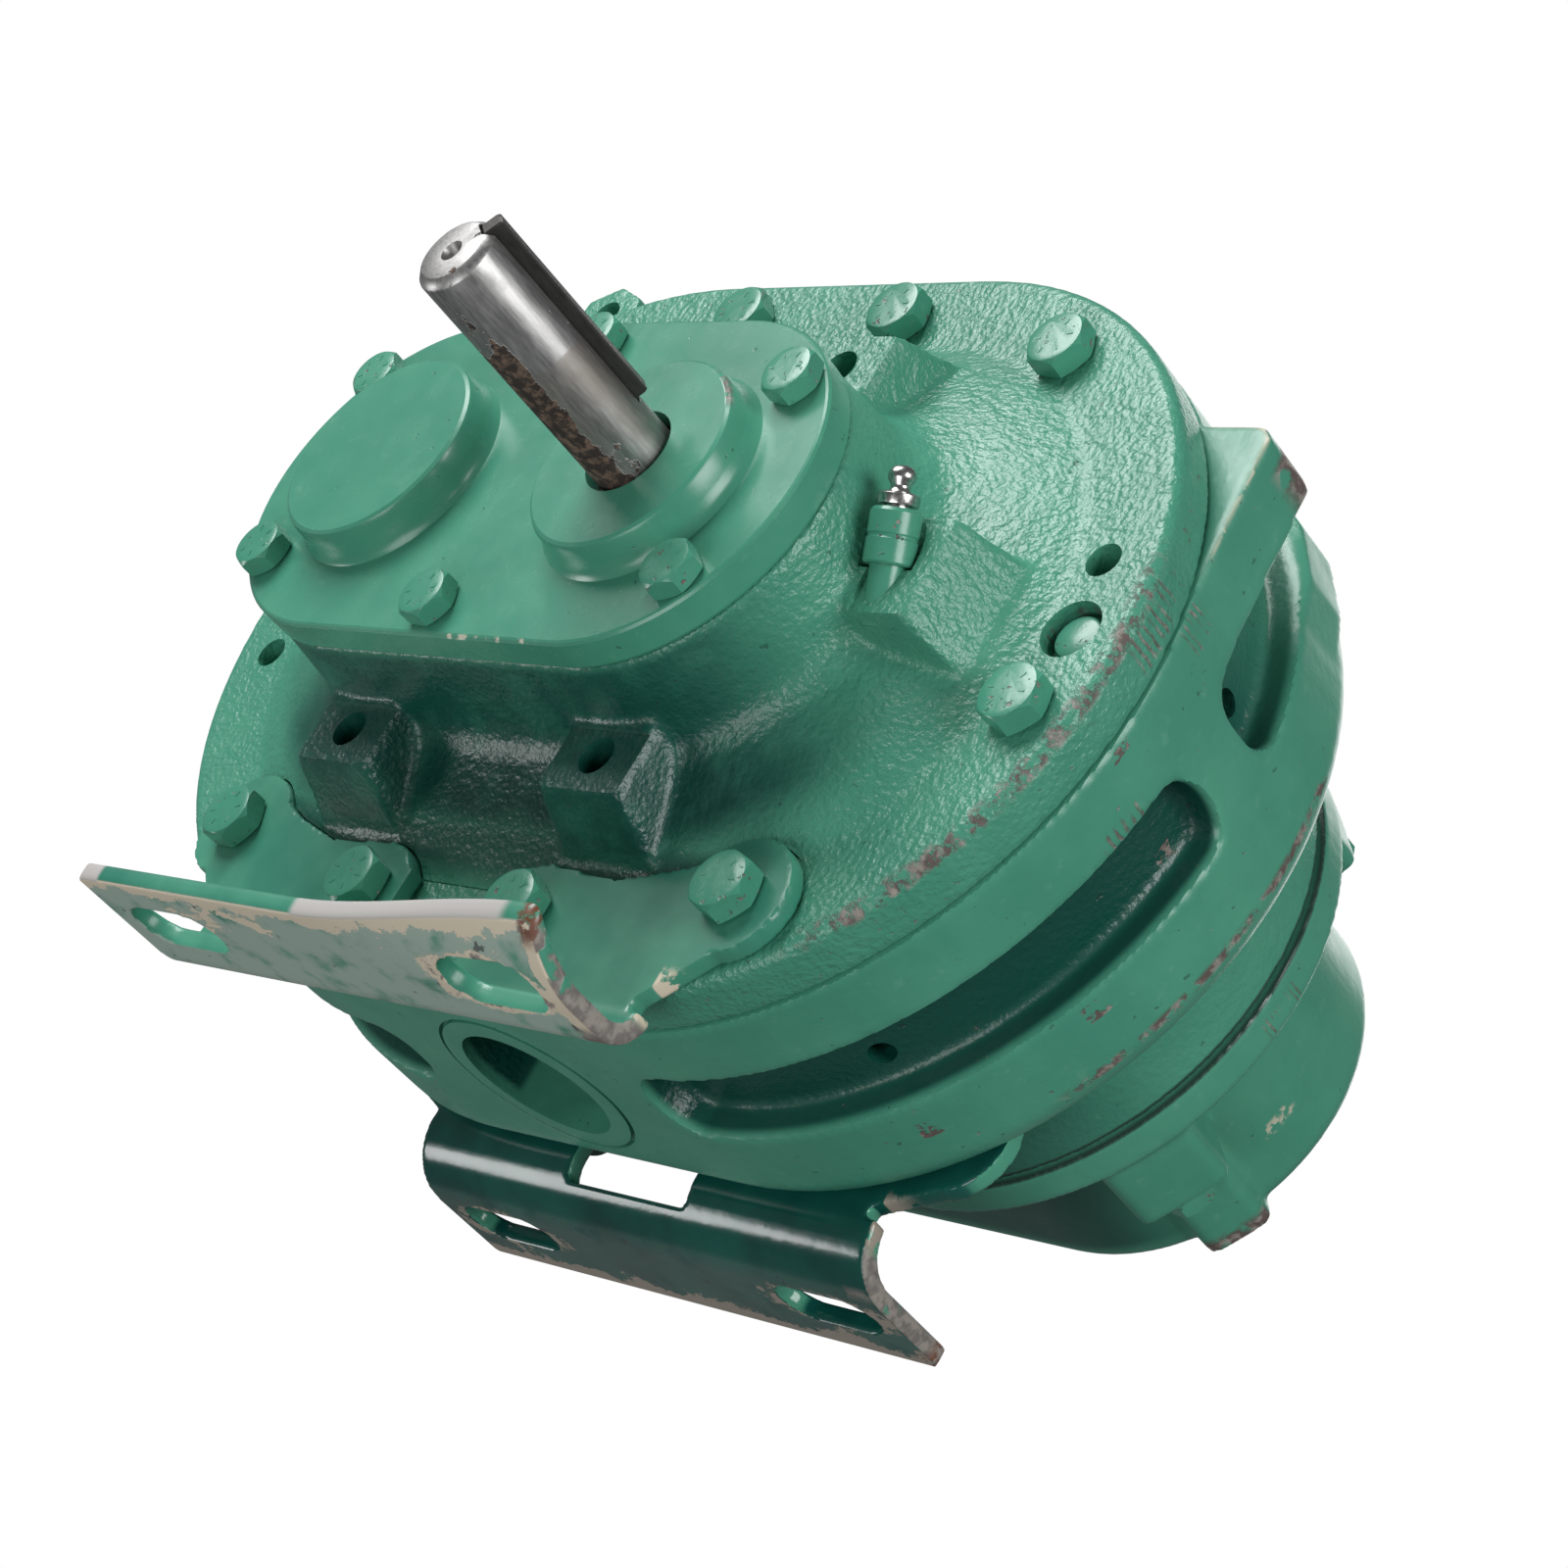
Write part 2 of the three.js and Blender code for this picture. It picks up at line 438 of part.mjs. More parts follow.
function keyBar(width, r0, r1, y0, y1) {
  const g = new THREE.BoxGeometry(r1 - r0, y1 - y0, width).translate((r0 + r1) / 2, (y0 + y1) / 2, 0);
  return solid(g.rotateY(-KEY_TURN).translate(HALF, 0, 0));
}

// ---- bearings and seals -------------------------------------------------------------------
for (const [side, x] of [['drive', HALF], ['driven', -HALF]]) {
  for (const [end, y] of [['front', 12.3], ['rear', 155]]) {
    add(`${side}_${end}_bearing_outer`, turned([[24.8, y], [30.7, y], [30.7, y + 16], [24.8, y + 16], [26.4, y + 8],
      [24.8, y]], x, 0, 20), STEEL);
    // inner ring with its ball row
    add(`${side}_${end}_bearing_inner`, turned([[15.3, y], [20.4, y], [21, y + 4.5], [24.2, y + 6], [24.2, y + 10],
      [21, y + 11.5], [20.4, y + 16], [15.3, y + 16], [15.3, y]], x, 0, 20), STEEL);
  }
  add(`${side}_oil_seal`, turned([[17.8, 143], [23.7, 143], [23.7, 151], [21, 151], [21, 146], [17.8, 145.4], [17.8, 143]],
    x, 0, 20), RUBBER);
}

// ---- timing gears -------------------------------------------------------------------------
function gearOutline(turn) {
  const pitch = MODULE * TEETH / 2;
  const press = 20 * Math.PI / 180;
  const base = pitch * Math.cos(press);
  const [tip, root] = [pitch + MODULE * 0.92, pitch - MODULE * 1.2];
  const inv = (a) => Math.tan(a) - a;
  const half = Math.PI / (2 * TEETH) - 0.22 / pitch;
  const pts = [];
  for (let i = 0; i < TEETH; i++) {
    const mid = turn + 2 * Math.PI * i / TEETH;
    const flank = [pitch - 0.9, tip].map((r) => {
      const a = Math.acos(Math.min(1, base / r));
      return [r, half + inv(press) - inv(a)];
    });
    const rise = [[root, flank[0][1] + 0.006], ...flank];
    for (const [r, w] of rise) pts.push([r * Math.cos(mid - w), r * Math.sin(mid - w)]);
    for (const [r, w] of rise.reverse()) pts.push([r * Math.cos(mid + w), r * Math.sin(mid + w)]);
  }
  return pts;
}
const GEAR_Y = [204, 230];
for (const [name, x, turn] of [['drive_timing_gear', HALF, 0], ['driven_timing_gear', -HALF, Math.PI / TEETH]]) {
  let gear = plate(gearOutline(turn), ...GEAR_Y);
  gear = join(gear, rod(24, 229, 233.5, 0, 0, 28));
  gear = cut(gear, rod(13.7 + GAP, 190, 240, 0, 0, 28));
  for (let i = 0; i < 6; i++) {
    const a = Math.PI / 3 * i;
    gear = cut(gear, rod(6, 200, 235, 34 * Math.cos(a), 34 * Math.sin(a), 14));
  }
  add(name, gear.translate([x, 0, 0]), STEEL);
}
for (const [name, x] of [['drive_locknut', HALF], ['driven_locknut', -HALF]]) {
  let nut = ring(12 + GAP, 20, 233.8, 243, 0, 0, 24);
  for (let i = 0; i < 4; i++) {
    const a = Math.PI / 2 * i;
    const g = new THREE.BoxGeometry(6, 12, 5).translate(20, 238.5, 0).rotateY(a);
    nut = cut(nut, solid(g));
  }
  add(name, nut.translate([x, 0, 0]), BLACK_STEEL);
}

// ---- lobed rotors -------------------------------------------------------------------------
// Two-lobed cycloidal outline, drawn in by the running clearance.
function rotorOutline(turn, clearance = 0.35) {
  const pitch = HALF;
  const roll = pitch / 4;
  const raw = [];
  const n = 22;
  for (let arc = 0; arc < 4; arc++) {
    const sign = arc % 2 === 0 ? 1 : -1;
    for (let i = 0; i < n; i++) {
      const local = -Math.PI / 4 + Math.PI / 2 * i / n;
      const t = local + Math.PI / 4;
      const c = pitch + sign * roll;
      const spin = c / roll * t;
      const base = -Math.PI / 4 + t;
      const px = c * Math.cos(base) - sign * roll * Math.cos(-Math.PI / 4 + sign * spin);
      const pz = c * Math.sin(base) - sign * roll * Math.sin(-Math.PI / 4 + sign * spin) * 1;
      const w = arc * Math.PI / 2 + turn;
      raw.push([px * Math.cos(w) - pz * Math.sin(w), px * Math.sin(w) + pz * Math.cos(w)]);
    }
  }
  return raw.map(([x, z], i) => {
    const [p, q] = [raw[(i + raw.length - 1) % raw.length], raw[(i + 1) % raw.length]];
    const [tx, tz] = [q[0] - p[0], q[1] - p[1]];
    const len = Math.hypot(tx, tz);
    return [x - clearance * tz / len, z + clearance * tx / len];
  });
}
for (const [name, x, turn] of [['drive_rotor', HALF, 0], ['driven_rotor', -HALF, Math.PI / 2]]) {
  const rotor = cut(plate(rotorOutline(turn), 72.6, 141.5), rod(17.5 + GAP, 60, 150, 0, 0, 28));
  add(name, rotor.translate([x, 0, 0]), CAST);
}

export default group;
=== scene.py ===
import math
import bmesh
import bpy
from mathutils import Euler, Matrix, Vector


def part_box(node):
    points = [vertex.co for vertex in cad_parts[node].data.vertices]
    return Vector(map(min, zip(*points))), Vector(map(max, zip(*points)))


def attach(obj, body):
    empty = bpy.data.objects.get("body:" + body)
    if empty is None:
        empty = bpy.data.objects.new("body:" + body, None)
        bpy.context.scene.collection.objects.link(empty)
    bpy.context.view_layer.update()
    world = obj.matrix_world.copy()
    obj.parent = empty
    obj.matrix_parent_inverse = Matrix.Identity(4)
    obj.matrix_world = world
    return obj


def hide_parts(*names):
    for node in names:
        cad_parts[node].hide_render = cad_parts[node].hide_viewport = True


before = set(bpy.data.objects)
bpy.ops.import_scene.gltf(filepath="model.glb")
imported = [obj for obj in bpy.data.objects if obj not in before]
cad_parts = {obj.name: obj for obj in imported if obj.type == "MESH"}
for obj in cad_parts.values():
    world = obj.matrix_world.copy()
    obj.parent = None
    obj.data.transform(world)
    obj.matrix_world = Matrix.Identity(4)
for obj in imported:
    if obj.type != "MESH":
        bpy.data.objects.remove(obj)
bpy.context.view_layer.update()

scene = bpy.context.scene

# ---- places taken from the frame ------------------------------------------------------------
# Shapes are written in millimetres about the middle of the two shaft axes (x, z) and from the
# face of the drive-end cover (y, towards the gear end). place() turns them into row metres.
SHAFT_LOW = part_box("drive_shaft")[0]
NUT_LOW, NUT_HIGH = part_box("drive_locknut")
HEAD_BEHIND_COVER = 10.3                                # from the face of the cover to the head plate
AXIS_R = 0.01                                           # the least radius of a ring, so its points stay apart
HALF = (NUT_LOW.x + NUT_HIGH.x) * 500                   # from the middle to either shaft axis
AXIS_Z = (NUT_LOW.z + NUT_HIGH.z) * 500
COVER_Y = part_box("drive_head_plate")[0].y * 1000 - HEAD_BEHIND_COVER


def place(p):
    return Vector((p[0] / 1000, (p[1] + COVER_Y) / 1000, (p[2] + AXIS_Z) / 1000))


def span(node):
    """Low and high corner of a CAD node in the millimetres used here."""
    return [Vector((c.x * 1000, c.y * 1000 - COVER_Y, c.z * 1000 - AXIS_Z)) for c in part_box(node)]


# driving dimensions, millimetres
FLANGE_R = 118.5
DISC_FRONT, DISC_BACK = 56.4, 71.5
BODY_FRONT, BODY_BACK = 71.8, 150.7
GROOVE_FRONT, GROOVE_BACK, GROOVE_R = 93.2, 119.2, 108
NECK_R, NECK_BACK = 85.6, 192.9
CASE_FRONT, CASE_FLANGE, CASE_BACK = 193.3, 206, 270.5
CASE_R, HUB_R = 86.7, 62.9
PORT_Y, PORT_R, PORT_RING, PORT_FACE = 108.2, 22.6, 29, 119
KEY_TURN = math.radians(49)
CHAMBER_R = 76.6
FRONT_FACE, FRONT_REACH, FRONT_BEND = DISC_FRONT - 0.3, 47, 12
REAR_FACE, REAR_REACH, REAR_BEND = BODY_BACK + 0.3, 46, 17
FRONT_HOLES, REAR_HOLES = [(101, -86), (33, -99.5)], [(104, -88.5), (33, -103)]


# ---- mesh helpers ---------------------------------------------------------------------------
def new(name, verts, faces):
    mesh = bpy.data.meshes.new(name)
    mesh.from_pydata([place(v) for v in verts], [], faces)
    bm = bmesh.new()
    bm.from_mesh(mesh)
    bmesh.ops.recalc_face_normals(bm, faces=bm.faces)
    bm.to_mesh(mesh)
    bm.free()
    obj = bpy.data.objects.new(name, mesh)
    scene.collection.objects.link(obj)
    return obj


def stack(rings, name="tool"):
    """Closed solid through rings of equal point count."""
    n = len(rings[0])
    verts = [p for ring in rings for p in ring]
    faces = [
        (k * n + i, k * n + (i + 1) % n, (k + 1) * n + (i + 1) % n, (k + 1) * n + i)
        for k in range(len(rings) - 1) for i in range(n)
    ]
    faces += [tuple(range(n - 1, -1, -1)), tuple(range((len(rings) - 1) * n, len(rings) * n))]
    return new(name, verts, faces)


def oval(r, y, n=48):
    """Ring at depth y: half circles of radius r about the shaft axes, joined by flats."""
    pts = []
    for side in (1, -1):
        for i in range(n + 1):
            a = math.pi * (i / n - 0.5) + (math.pi if side < 0 else 0)
            pts.append((side * HALF + r * math.cos(a), y, r * math.sin(a)))
    return pts


def ovals(*levels):
    return stack([oval(r, y) for y, r in levels])


def turned(profile, x=0, z=0, n=48, name="tool"):
    """Solid of revolution about the line along Y through (x, z); profile holds (radius, y)."""
    turns = [2 * math.pi * i / n for i in range(n)]
    return stack([[(x + max(r, AXIS_R) * math.cos(a), y, z + max(r, AXIS_R) * math.sin(a)) for a in turns]
                  for r, y in profile], name)


def rod(r, y0, y1, x=0, z=0, n=40):
    return turned([(r, y0), (r, y1)], x, z, n)


def pillar(r, z0, z1, x, y, n=64):
    return stack([[(x + r * math.cos(2 * math.pi * i / n), y + r * math.sin(2 * math.pi * i / n), z)
                   for i in range(n)] for z in (z0, z1)])


def prism(outline, y0, y1):
    return stack([[(x, y, z) for x, z in outline] for y in (y0, y1)])


def block(x0, x1, y0, y1, z0, z1):
    return prism([(x0, z0), (x1, z0), (x1, z1), (x0, z1)], y0, y1)


def mirrored(obj):
    """A copy of obj across the plane between the shafts."""
    mesh = obj.data.copy()
    mesh.transform(Matrix.Scale(-1, 4, (1, 0, 0)))
    mesh.flip_normals()
    copy = bpy.data.objects.new(obj.name, mesh)
    scene.collection.objects.link(copy)
    return copy


def settle(obj):
    """Turns modifiers into mesh."""
    mesh = bpy.data.meshes.new_from_object(obj.evaluated_get(bpy.context.evaluated_depsgraph_get()))
    obj.modifiers.clear()
    obj.data = mesh
    return obj


def combine(obj, tools, operation):
    for tool in tools:
        mod = obj.modifiers.new("b", "BOOLEAN")
        mod.object, mod.operation, mod.solver = tool, operation, "MANIFOLD"
    settle(obj)
    for tool in tools:
        bpy.data.objects.remove(tool)
    return obj


def join(obj, *tools):
    return combine(obj, tools, "UNION")


def cut(obj, *tools):
    return combine(obj, tools, "DIFFERENCE")


def cast(obj, voxel, rounds, name):
    """Rounds every edge and corner as a sand casting has them."""
    mod = obj.modifiers.new("r", "REMESH")
    mod.mode, mod.voxel_size = "VOXEL", voxel / 1000
    mod = obj.modifiers.new("s", "SMOOTH")
    mod.factor, mod.iterations = 0.5, rounds
    obj.name = name
    return settle(obj)


def finish_piece(obj, name, body, material, nodes=(), angle=32):
    obj.name = name
    obj.data.materials.clear()
    obj.data.materials.append(material)
    for polygon in obj.data.polygons:
        polygon.use_smooth = True
    obj.data.set_sharp_from_angle(angle=math.radians(angle))
    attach(obj, body)
    if nodes:
        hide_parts(*nodes)
    return obj


# ---- node helpers ---------------------------------------------------------------------------
class Field:
    """A number that varies over a surface, combined in plain arithmetic."""

    def __init__(self, tree, socket):
        self.tree, self.socket = tree, socket

    def math(self, operation, *others, clamp=False):
        node = self.tree.nodes.new("ShaderNodeMath")
        node.operation, node.use_clamp = operation, clamp
        for i, value in enumerate((self, *others)):
            if isinstance(value, Field):
                self.tree.links.new(value.socket, node.inputs[i])
            else:
                node.inputs[i].default_value = value
        return Field(self.tree, node.outputs[0])

    def __add__(self, other):
        return self.math("ADD", other)

    def __sub__(self, other):
        return self.math("SUBTRACT", other)

    def __mul__(self, other):
        return self.math("MULTIPLY", other)

    def __or__(self, other):
        return self.math("MAXIMUM", other)

    def inverse(self):
        return self.math("MULTIPLY_ADD", -1.0, 1.0)

    def rise(self, low, high):
        """0 below low, 1 above high, smooth between; falls instead if low > high."""
        node = self.tree.nodes.new("ShaderNodeMapRange")
        node.interpolation_type = "SMOOTHSTEP"
        ends = (low, high, 0, 1) if low < high else (high, low, 1, 0)
        for i, value in enumerate(ends):
            node.inputs[i + 1].default_value = value
        self.tree.links.new(self.socket, node.inputs[0])
        return Field(self.tree, node.outputs[0])

    def band(self, low, high, soft):
        return self.rise(low - soft, low + soft) * self.rise(high + soft, high - soft)


class Surface:
    """Principled material with position fields in the millimetres used here."""

    def __init__(self, name, metallic=0.0, specular=0.5):
        self.material = bpy.data.materials.new(name)
        self.material.use_nodes = True
        self.tree = self.material.node_tree
        self.bsdf = self.tree.nodes["Principled BSDF"]
        self.bsdf.inputs["Metallic"].default_value = metallic
        self.bsdf.inputs["Specular IOR Level"].default_value = specular
        coords = self.tree.nodes.new("ShaderNodeTexCoord")
        mapping = self.tree.nodes.new("ShaderNodeMapping")
        mapping.inputs["Scale"].default_value = (1000, 1000, 1000)
        mapping.inputs["Location"].default_value = (0, -COVER_Y, -AXIS_Z)
        self.tree.links.new(coords.outputs["Object"], mapping.inputs["Vector"])
        self.place = mapping.outputs[0]
        normal = self.tree.nodes.new("ShaderNodeSeparateXYZ")
        self.tree.links.new(coords.outputs["Normal"], normal.inputs[0])
        self.facing_x, _, self.facing_z = (Field(self.tree, s) for s in normal.outputs)
        split = self.tree.nodes.new("ShaderNodeSeparateXYZ")
        self.tree.links.new(self.place, split.inputs[0])
        self.x, self.y, self.z = (Field(self.tree, s) for s in split.outputs)
        out = self.x.math("ABSOLUTE").math("SUBTRACT", HALF).math("MAXIMUM", 0.0)
        self.ring = (out * out + self.z * self.z).math("SQRT")
        self.angle = self.z.math("ARCTAN2", out) * (180 / math.pi)
        self.drive_side = self.x.rise(-1, 1)

    def noise(self, size, detail=3.0, rough=0.55, stretch=(1, 1, 1), shift=0.0):
        """Noise from 0 to 1 with features of about size millimetres."""
        mapping = self.tree.nodes.new("ShaderNodeMapping")
        mapping.inputs["Scale"].default_value = [s / size for s in stretch]
        mapping.inputs["Location"].default_value = (shift, shift * 1.7, -shift)
        node = self.tree.nodes.new("ShaderNodeTexNoise")
        node.inputs["Scale"].default_value = 1.0
        node.inputs["Detail"].default_value = detail
        node.inputs["Roughness"].default_value = rough
        self.tree.links.new(self.place, mapping.inputs["Vector"])
        self.tree.links.new(mapping.outputs[0], node.inputs["Vector"])
        return Field(self.tree, node.outputs[0])

    def spots(self, size, threshold, soft=0.06, shift=0.0):
        return self.noise(size, 2.0, 0.5, shift=shift).rise(threshold - soft, threshold + soft)

    def edges(self, low, high):
        """1 on outward corners of a finely meshed piece."""
        node = self.tree.nodes.new("ShaderNodeNewGeometry")
        return Field(self.tree, node.outputs["Pointiness"]).rise(low, high)

    def blend(self, a, b, mask):
        node = self.tree.nodes.new("ShaderNodeMix")
        node.data_type = "RGBA"
        for socket, value in ((node.inputs[6], a), (node.inputs[7], b)):
            if isinstance(value, tuple):
                socket.default_value = (*value, 1)
            else:
                self.tree.links.new(value, socket)
        self.tree.links.new(mask.socket, node.inputs[0])
        return node.outputs[2]

    def finish(self, colour, rough, height, strength=1.0):
        """height is in millimetres."""
        self.tree.links.new(colour, self.bsdf.inputs["Base Color"])
        self.tree.links.new(rough.socket, self.bsdf.inputs["Roughness"])
        bump = self.tree.nodes.new("ShaderNodeBump")
        bump.inputs["Distance"].default_value = 0.001
        bump.inputs["Strength"].default_value = strength
        self.tree.links.new(height.socket, bump.inputs["Height"])
        self.tree.links.new(bump.outputs[0], self.bsdf.inputs["Normal"])
        return self.material


ENAMEL = (0.066, 0.276, 0.184)
ENAMEL_DEEP = (0.030, 0.190, 0.128)
ENAMEL_PALE = (0.17, 0.38, 0.28)
RUST = (0.095, 0.070, 0.062)
PRIMER = (0.60, 0.53, 0.41)
BARE = (0.26, 0.235, 0.21)
GRIME = (0.012, 0.022, 0.018)
PAINTED_SHADE_TEAL = (0.003, 0.055, 0.040)                           # painted shade: dark teal laid where shade falls, in recesses and on downward faces
FADED = (0.31, 0.40, 0.345)
WORN = (0.40, 0.385, 0.37)


def enamel(name, grain=0.16, chips=None, pale=None, dark=None, grain_size=2.2, rough=0.34, deep=None,
           rough_cast=None, painted_shade=None):
    """Green machine enamel over a casting. chips, pale, dark and rough_cast give masks; the last argument gives
    the mask of painted shade, laid in dark teal.
    """
    s = Surface(name)
    cloud = s.noise(38, 4, 0.6).rise(0.32, 0.72)
    colour = s.blend(ENAMEL_DEEP if deep is None else deep, ENAMEL if deep is None else (0.012, 0.12, 0.095),
                     cloud.math("MULTIPLY_ADD", 0.45, 0.55))
    colour = s.blend(colour, ENAMEL_PALE, s.noise(5, 3, 0.6, shift=7).rise(0.60, 0.80) * 0.25)
    painted_shade_mask = None
    if painted_shade:
        # painted shade: dark teal blended into the enamel where the mask says shade falls
        painted_shade_mask = painted_shade(s)
        colour = s.blend(colour, PAINTED_SHADE_TEAL, painted_shade_mask)
    pits = s.spots(3.4, 0.74, 0.02, shift=3)
    colour = s.blend(colour, GRIME, pits * 0.45)
    rough_field = s.noise(9, 3).math("MULTIPLY_ADD", 0.16, rough - 0.08)
    height = s.noise(grain_size, 2, 0.5) * grain + s.noise(grain_size * 3.1, 2, 0.5) * (grain * 0.8)
    if rough_cast:
        height = height + s.noise(2.0, 2, 0.5, shift=2) * rough_cast(s) * 0.7
    if painted_shade_mask:
        height = height * (painted_shade_mask.inverse() * 0.4 + 0.6)
    height = height - pits * 0.08
    if dark:
        mask = dark(s)
        colour = s.blend(colour, GRIME, mask)
    if pale:
        mask = pale(s)
        colour = s.blend(colour, PRIMER, mask)
        height = height - mask * 0.08
    if chips:
        mask = chips(s)
        colour = s.blend(colour, s.blend(RUST, BARE, s.noise(4, 3, shift=2).rise(0.45, 0.65)), mask)
        rough_field = rough_field + mask * 0.3
        height = height - mask * 0.18
    return s.finish(colour, rough_field, height)


def patch(s, a0, a1, y0, y1, size=4.0, level=0.5, drive=True, soft_a=2.0, soft_y=1.0, shift=0.0):
    """Ragged patch between two angles about a shaft axis and two depths, on one side of the machine."""
    side = s.drive_side if drive else s.drive_side.inverse()
    area = s.angle.band(a0, a1, soft_a) * s.y.band(y0, y1, soft_y) * side
    return (area * s.noise(size, 4, 0.65, shift=shift).math("ADD", 0.5)).rise(level + 0.42, level + 0.50)


def hatch(s, a0, a1, y0, y1, pitch, shift=0.0):
    """Short file-like scratches across the rim."""
    lines = (s.angle + s.noise(3, 2, shift=shift) * 0.8).math("MULTIPLY", 2 * math.pi / pitch).math("SINE")
    area = s.angle.band(a0, a1, 1.0) * s.y.band(y0, y1, 0.8) * s.drive_side
    broken = s.noise(5, 3, 0.6, stretch=(1, 0.5, 1), shift=shift).rise(0.38, 0.56)
    return area * lines.rise(0.15, 0.75) * broken * 0.85


def disc_chips(s):
    rim = s.ring.rise(112.5, 116.5) * s.y.band(55.5, 59.5, 1.0) * s.drive_side
    rim = rim * s.angle.band(-52, 12, 5) * (s.noise(5, 5, 0.75, shift=1).rise(0.47, 0.56))
    return rim | hatch(s, 0, 10.5, 58.5, 69, 1.25) | patch(s, -70, 60, 60, 70, 3, 0.72, shift=5)


def disc_dark(s):
    return s.y.band(71.2, 72, 0.25) * s.ring.rise(117, 118) * 0.75


def housing_chips(s):
    rim = s.y.band(140.2, 143.0, 0.8) * s.angle.band(-40, 13, 3) * s.drive_side
    rim = rim * s.noise(9, 5, 0.7, shift=4).rise(0.42, 0.52) * s.ring.rise(110, 114)
    ears = s.z.rise(66, 74) * s.x.math("ABSOLUTE").rise(155, 159) * s.y.rise(77, 80)
    ears = ears * s.noise(8, 4, 0.6, shift=9).rise(0.36, 0.46)
    return (rim | hatch(s, 7.5, 12.5, 73, 82, 1.1, 3) | hatch(s, -18, -11, 88, 93, 1.3, 6)
            | patch(s, -34, -28, 121, 128, 5, 0.52, shift=2) | patch(s, -59, -54, 126, 133, 4, 0.5, shift=8)
            | patch(s, -12, -6, 73, 77, 3, 0.5, shift=5) | patch(s, -14, -8, 112, 118, 3, 0.55, shift=6)
            | ears | patch(s, -90, 90, 72, 142, 3.5, 0.76, shift=12)
            | patch(s, -90, 90, 120, 150, 3, 0.72, drive=False))


def housing_pale(s):
    line = s.y.band(71, 72.9, 0.4) * s.ring.rise(119.5, 121) * s.z.rise(20, 26) * s.edges(0.52, 0.56)
    return line * s.noise(5, 4, 0.7, shift=6).rise(0.35, 0.45) * 0.7


def head_painted_shade(s):
    """Painted shade: dark teal under the pedestal and pads, strongest on downward faces, and between the lower
    pads.
    """
    wall = s.y.band(11, 50, 3) * s.ring.rise(96, 80)
    under = s.angle.rise(-12, -62) * 0.88 + s.z.rise(-40, -62) * 0.12
    mist = s.noise(14, 4, 0.6, shift=15).rise(0.25, 0.6).math("MULTIPLY_ADD", 0.25, 0.75)
    return (wall * under * mist) | (s.z.rise(-70, -80) * s.y.band(20, 55, 2) * s.ring.rise(100, 90) * 0.8)


def housing_painted_shade(s):
    # painted shade: dark teal on the belt pocket floors (less where light reaches them), inside the chamber and
    # under the neck
    floor = s.y.band(GROOVE_FRONT - 0.5, GROOVE_BACK + 0.5, 1.0) * s.ring.rise(117.8, 114.5)
    lit = s.y.rise(GROOVE_BACK - 4, GROOVE_BACK) * 0.1 + s.angle.rise(0, 30) * 0.5
    inside = s.ring.rise(104, 98)
    neck = s.y.rise(BODY_BACK + 1, BODY_BACK + 8) * s.angle.rise(-20, -70) * 0.75
    return (floor * (lit.inverse())) | (inside * s.y.rise(BODY_BACK - 2, BODY_BACK - 6)) | neck


def case_painted_shade(s):
    # painted shade: dark teal on the downward-facing sides of the gear case
    return s.angle.rise(-40, -75) * s.ring.band(59, 86, 2) * s.y.band(206, 264, 4) * 0.9


def housing_rough(s):
    """As-cast skin in the belt pockets and on the neck, against the turned rims."""
    pocket_floor = s.y.band(GROOVE_FRONT + 1, GROOVE_BACK - 1, 1.5) * s.ring.rise(117.5, 115)
    return pocket_floor | (s.y.rise(BODY_BACK + 1, BODY_BACK + 3) * 0.6)


def housing_dark(s):
    seam = s.y.band(191.2, 193, 0.5) * s.ring.rise(84, 85.4)
    return seam * 0.85


def case_chips(s):
    tip = s.y.rise(264, 268) * s.ring.rise(64.4, 65.6) * s.z.rise(-20, -30)
    return hatch(s, -12, -2, 198, 204, 1.2, 4) | tip * s.noise(6, 4, shift=3).rise(0.38, 0.5)


def case_pale(s):
    scuffs = s.angle.band(-22, -12, 1.5) * s.y.band(247, 251, 0.8) * s.drive_side
    return scuffs * s.noise(3, 3, shift=2).rise(0.5, 0.58) * 0.7


def case_dark(s):
    return s.y.band(193, 194.6, 0.4) * s.ring.rise(84, 86) * 0.9


def cover_chips(s):
    out = ((s.x - HALF) * (s.x - HALF) + s.z * s.z).math("SQRT")
    chip = out.band(29.2, 31.2, 0.4) * s.x.rise(62, 68) * s.z.rise(14, 18) * s.y.rise(-8, -10)
    return chip * s.noise(3, 3).rise(0.42, 0.52)


def cover_pale(s):
    edge = s.ring.rise(51.6, 52.4) * s.y.rise(1.6, 0.4) * s.z.rise(-40, -48) * s.x.band(10, 45, 3)
    return edge * s.noise(4, 4, shift=3).rise(0.5, 0.58) * 0.9


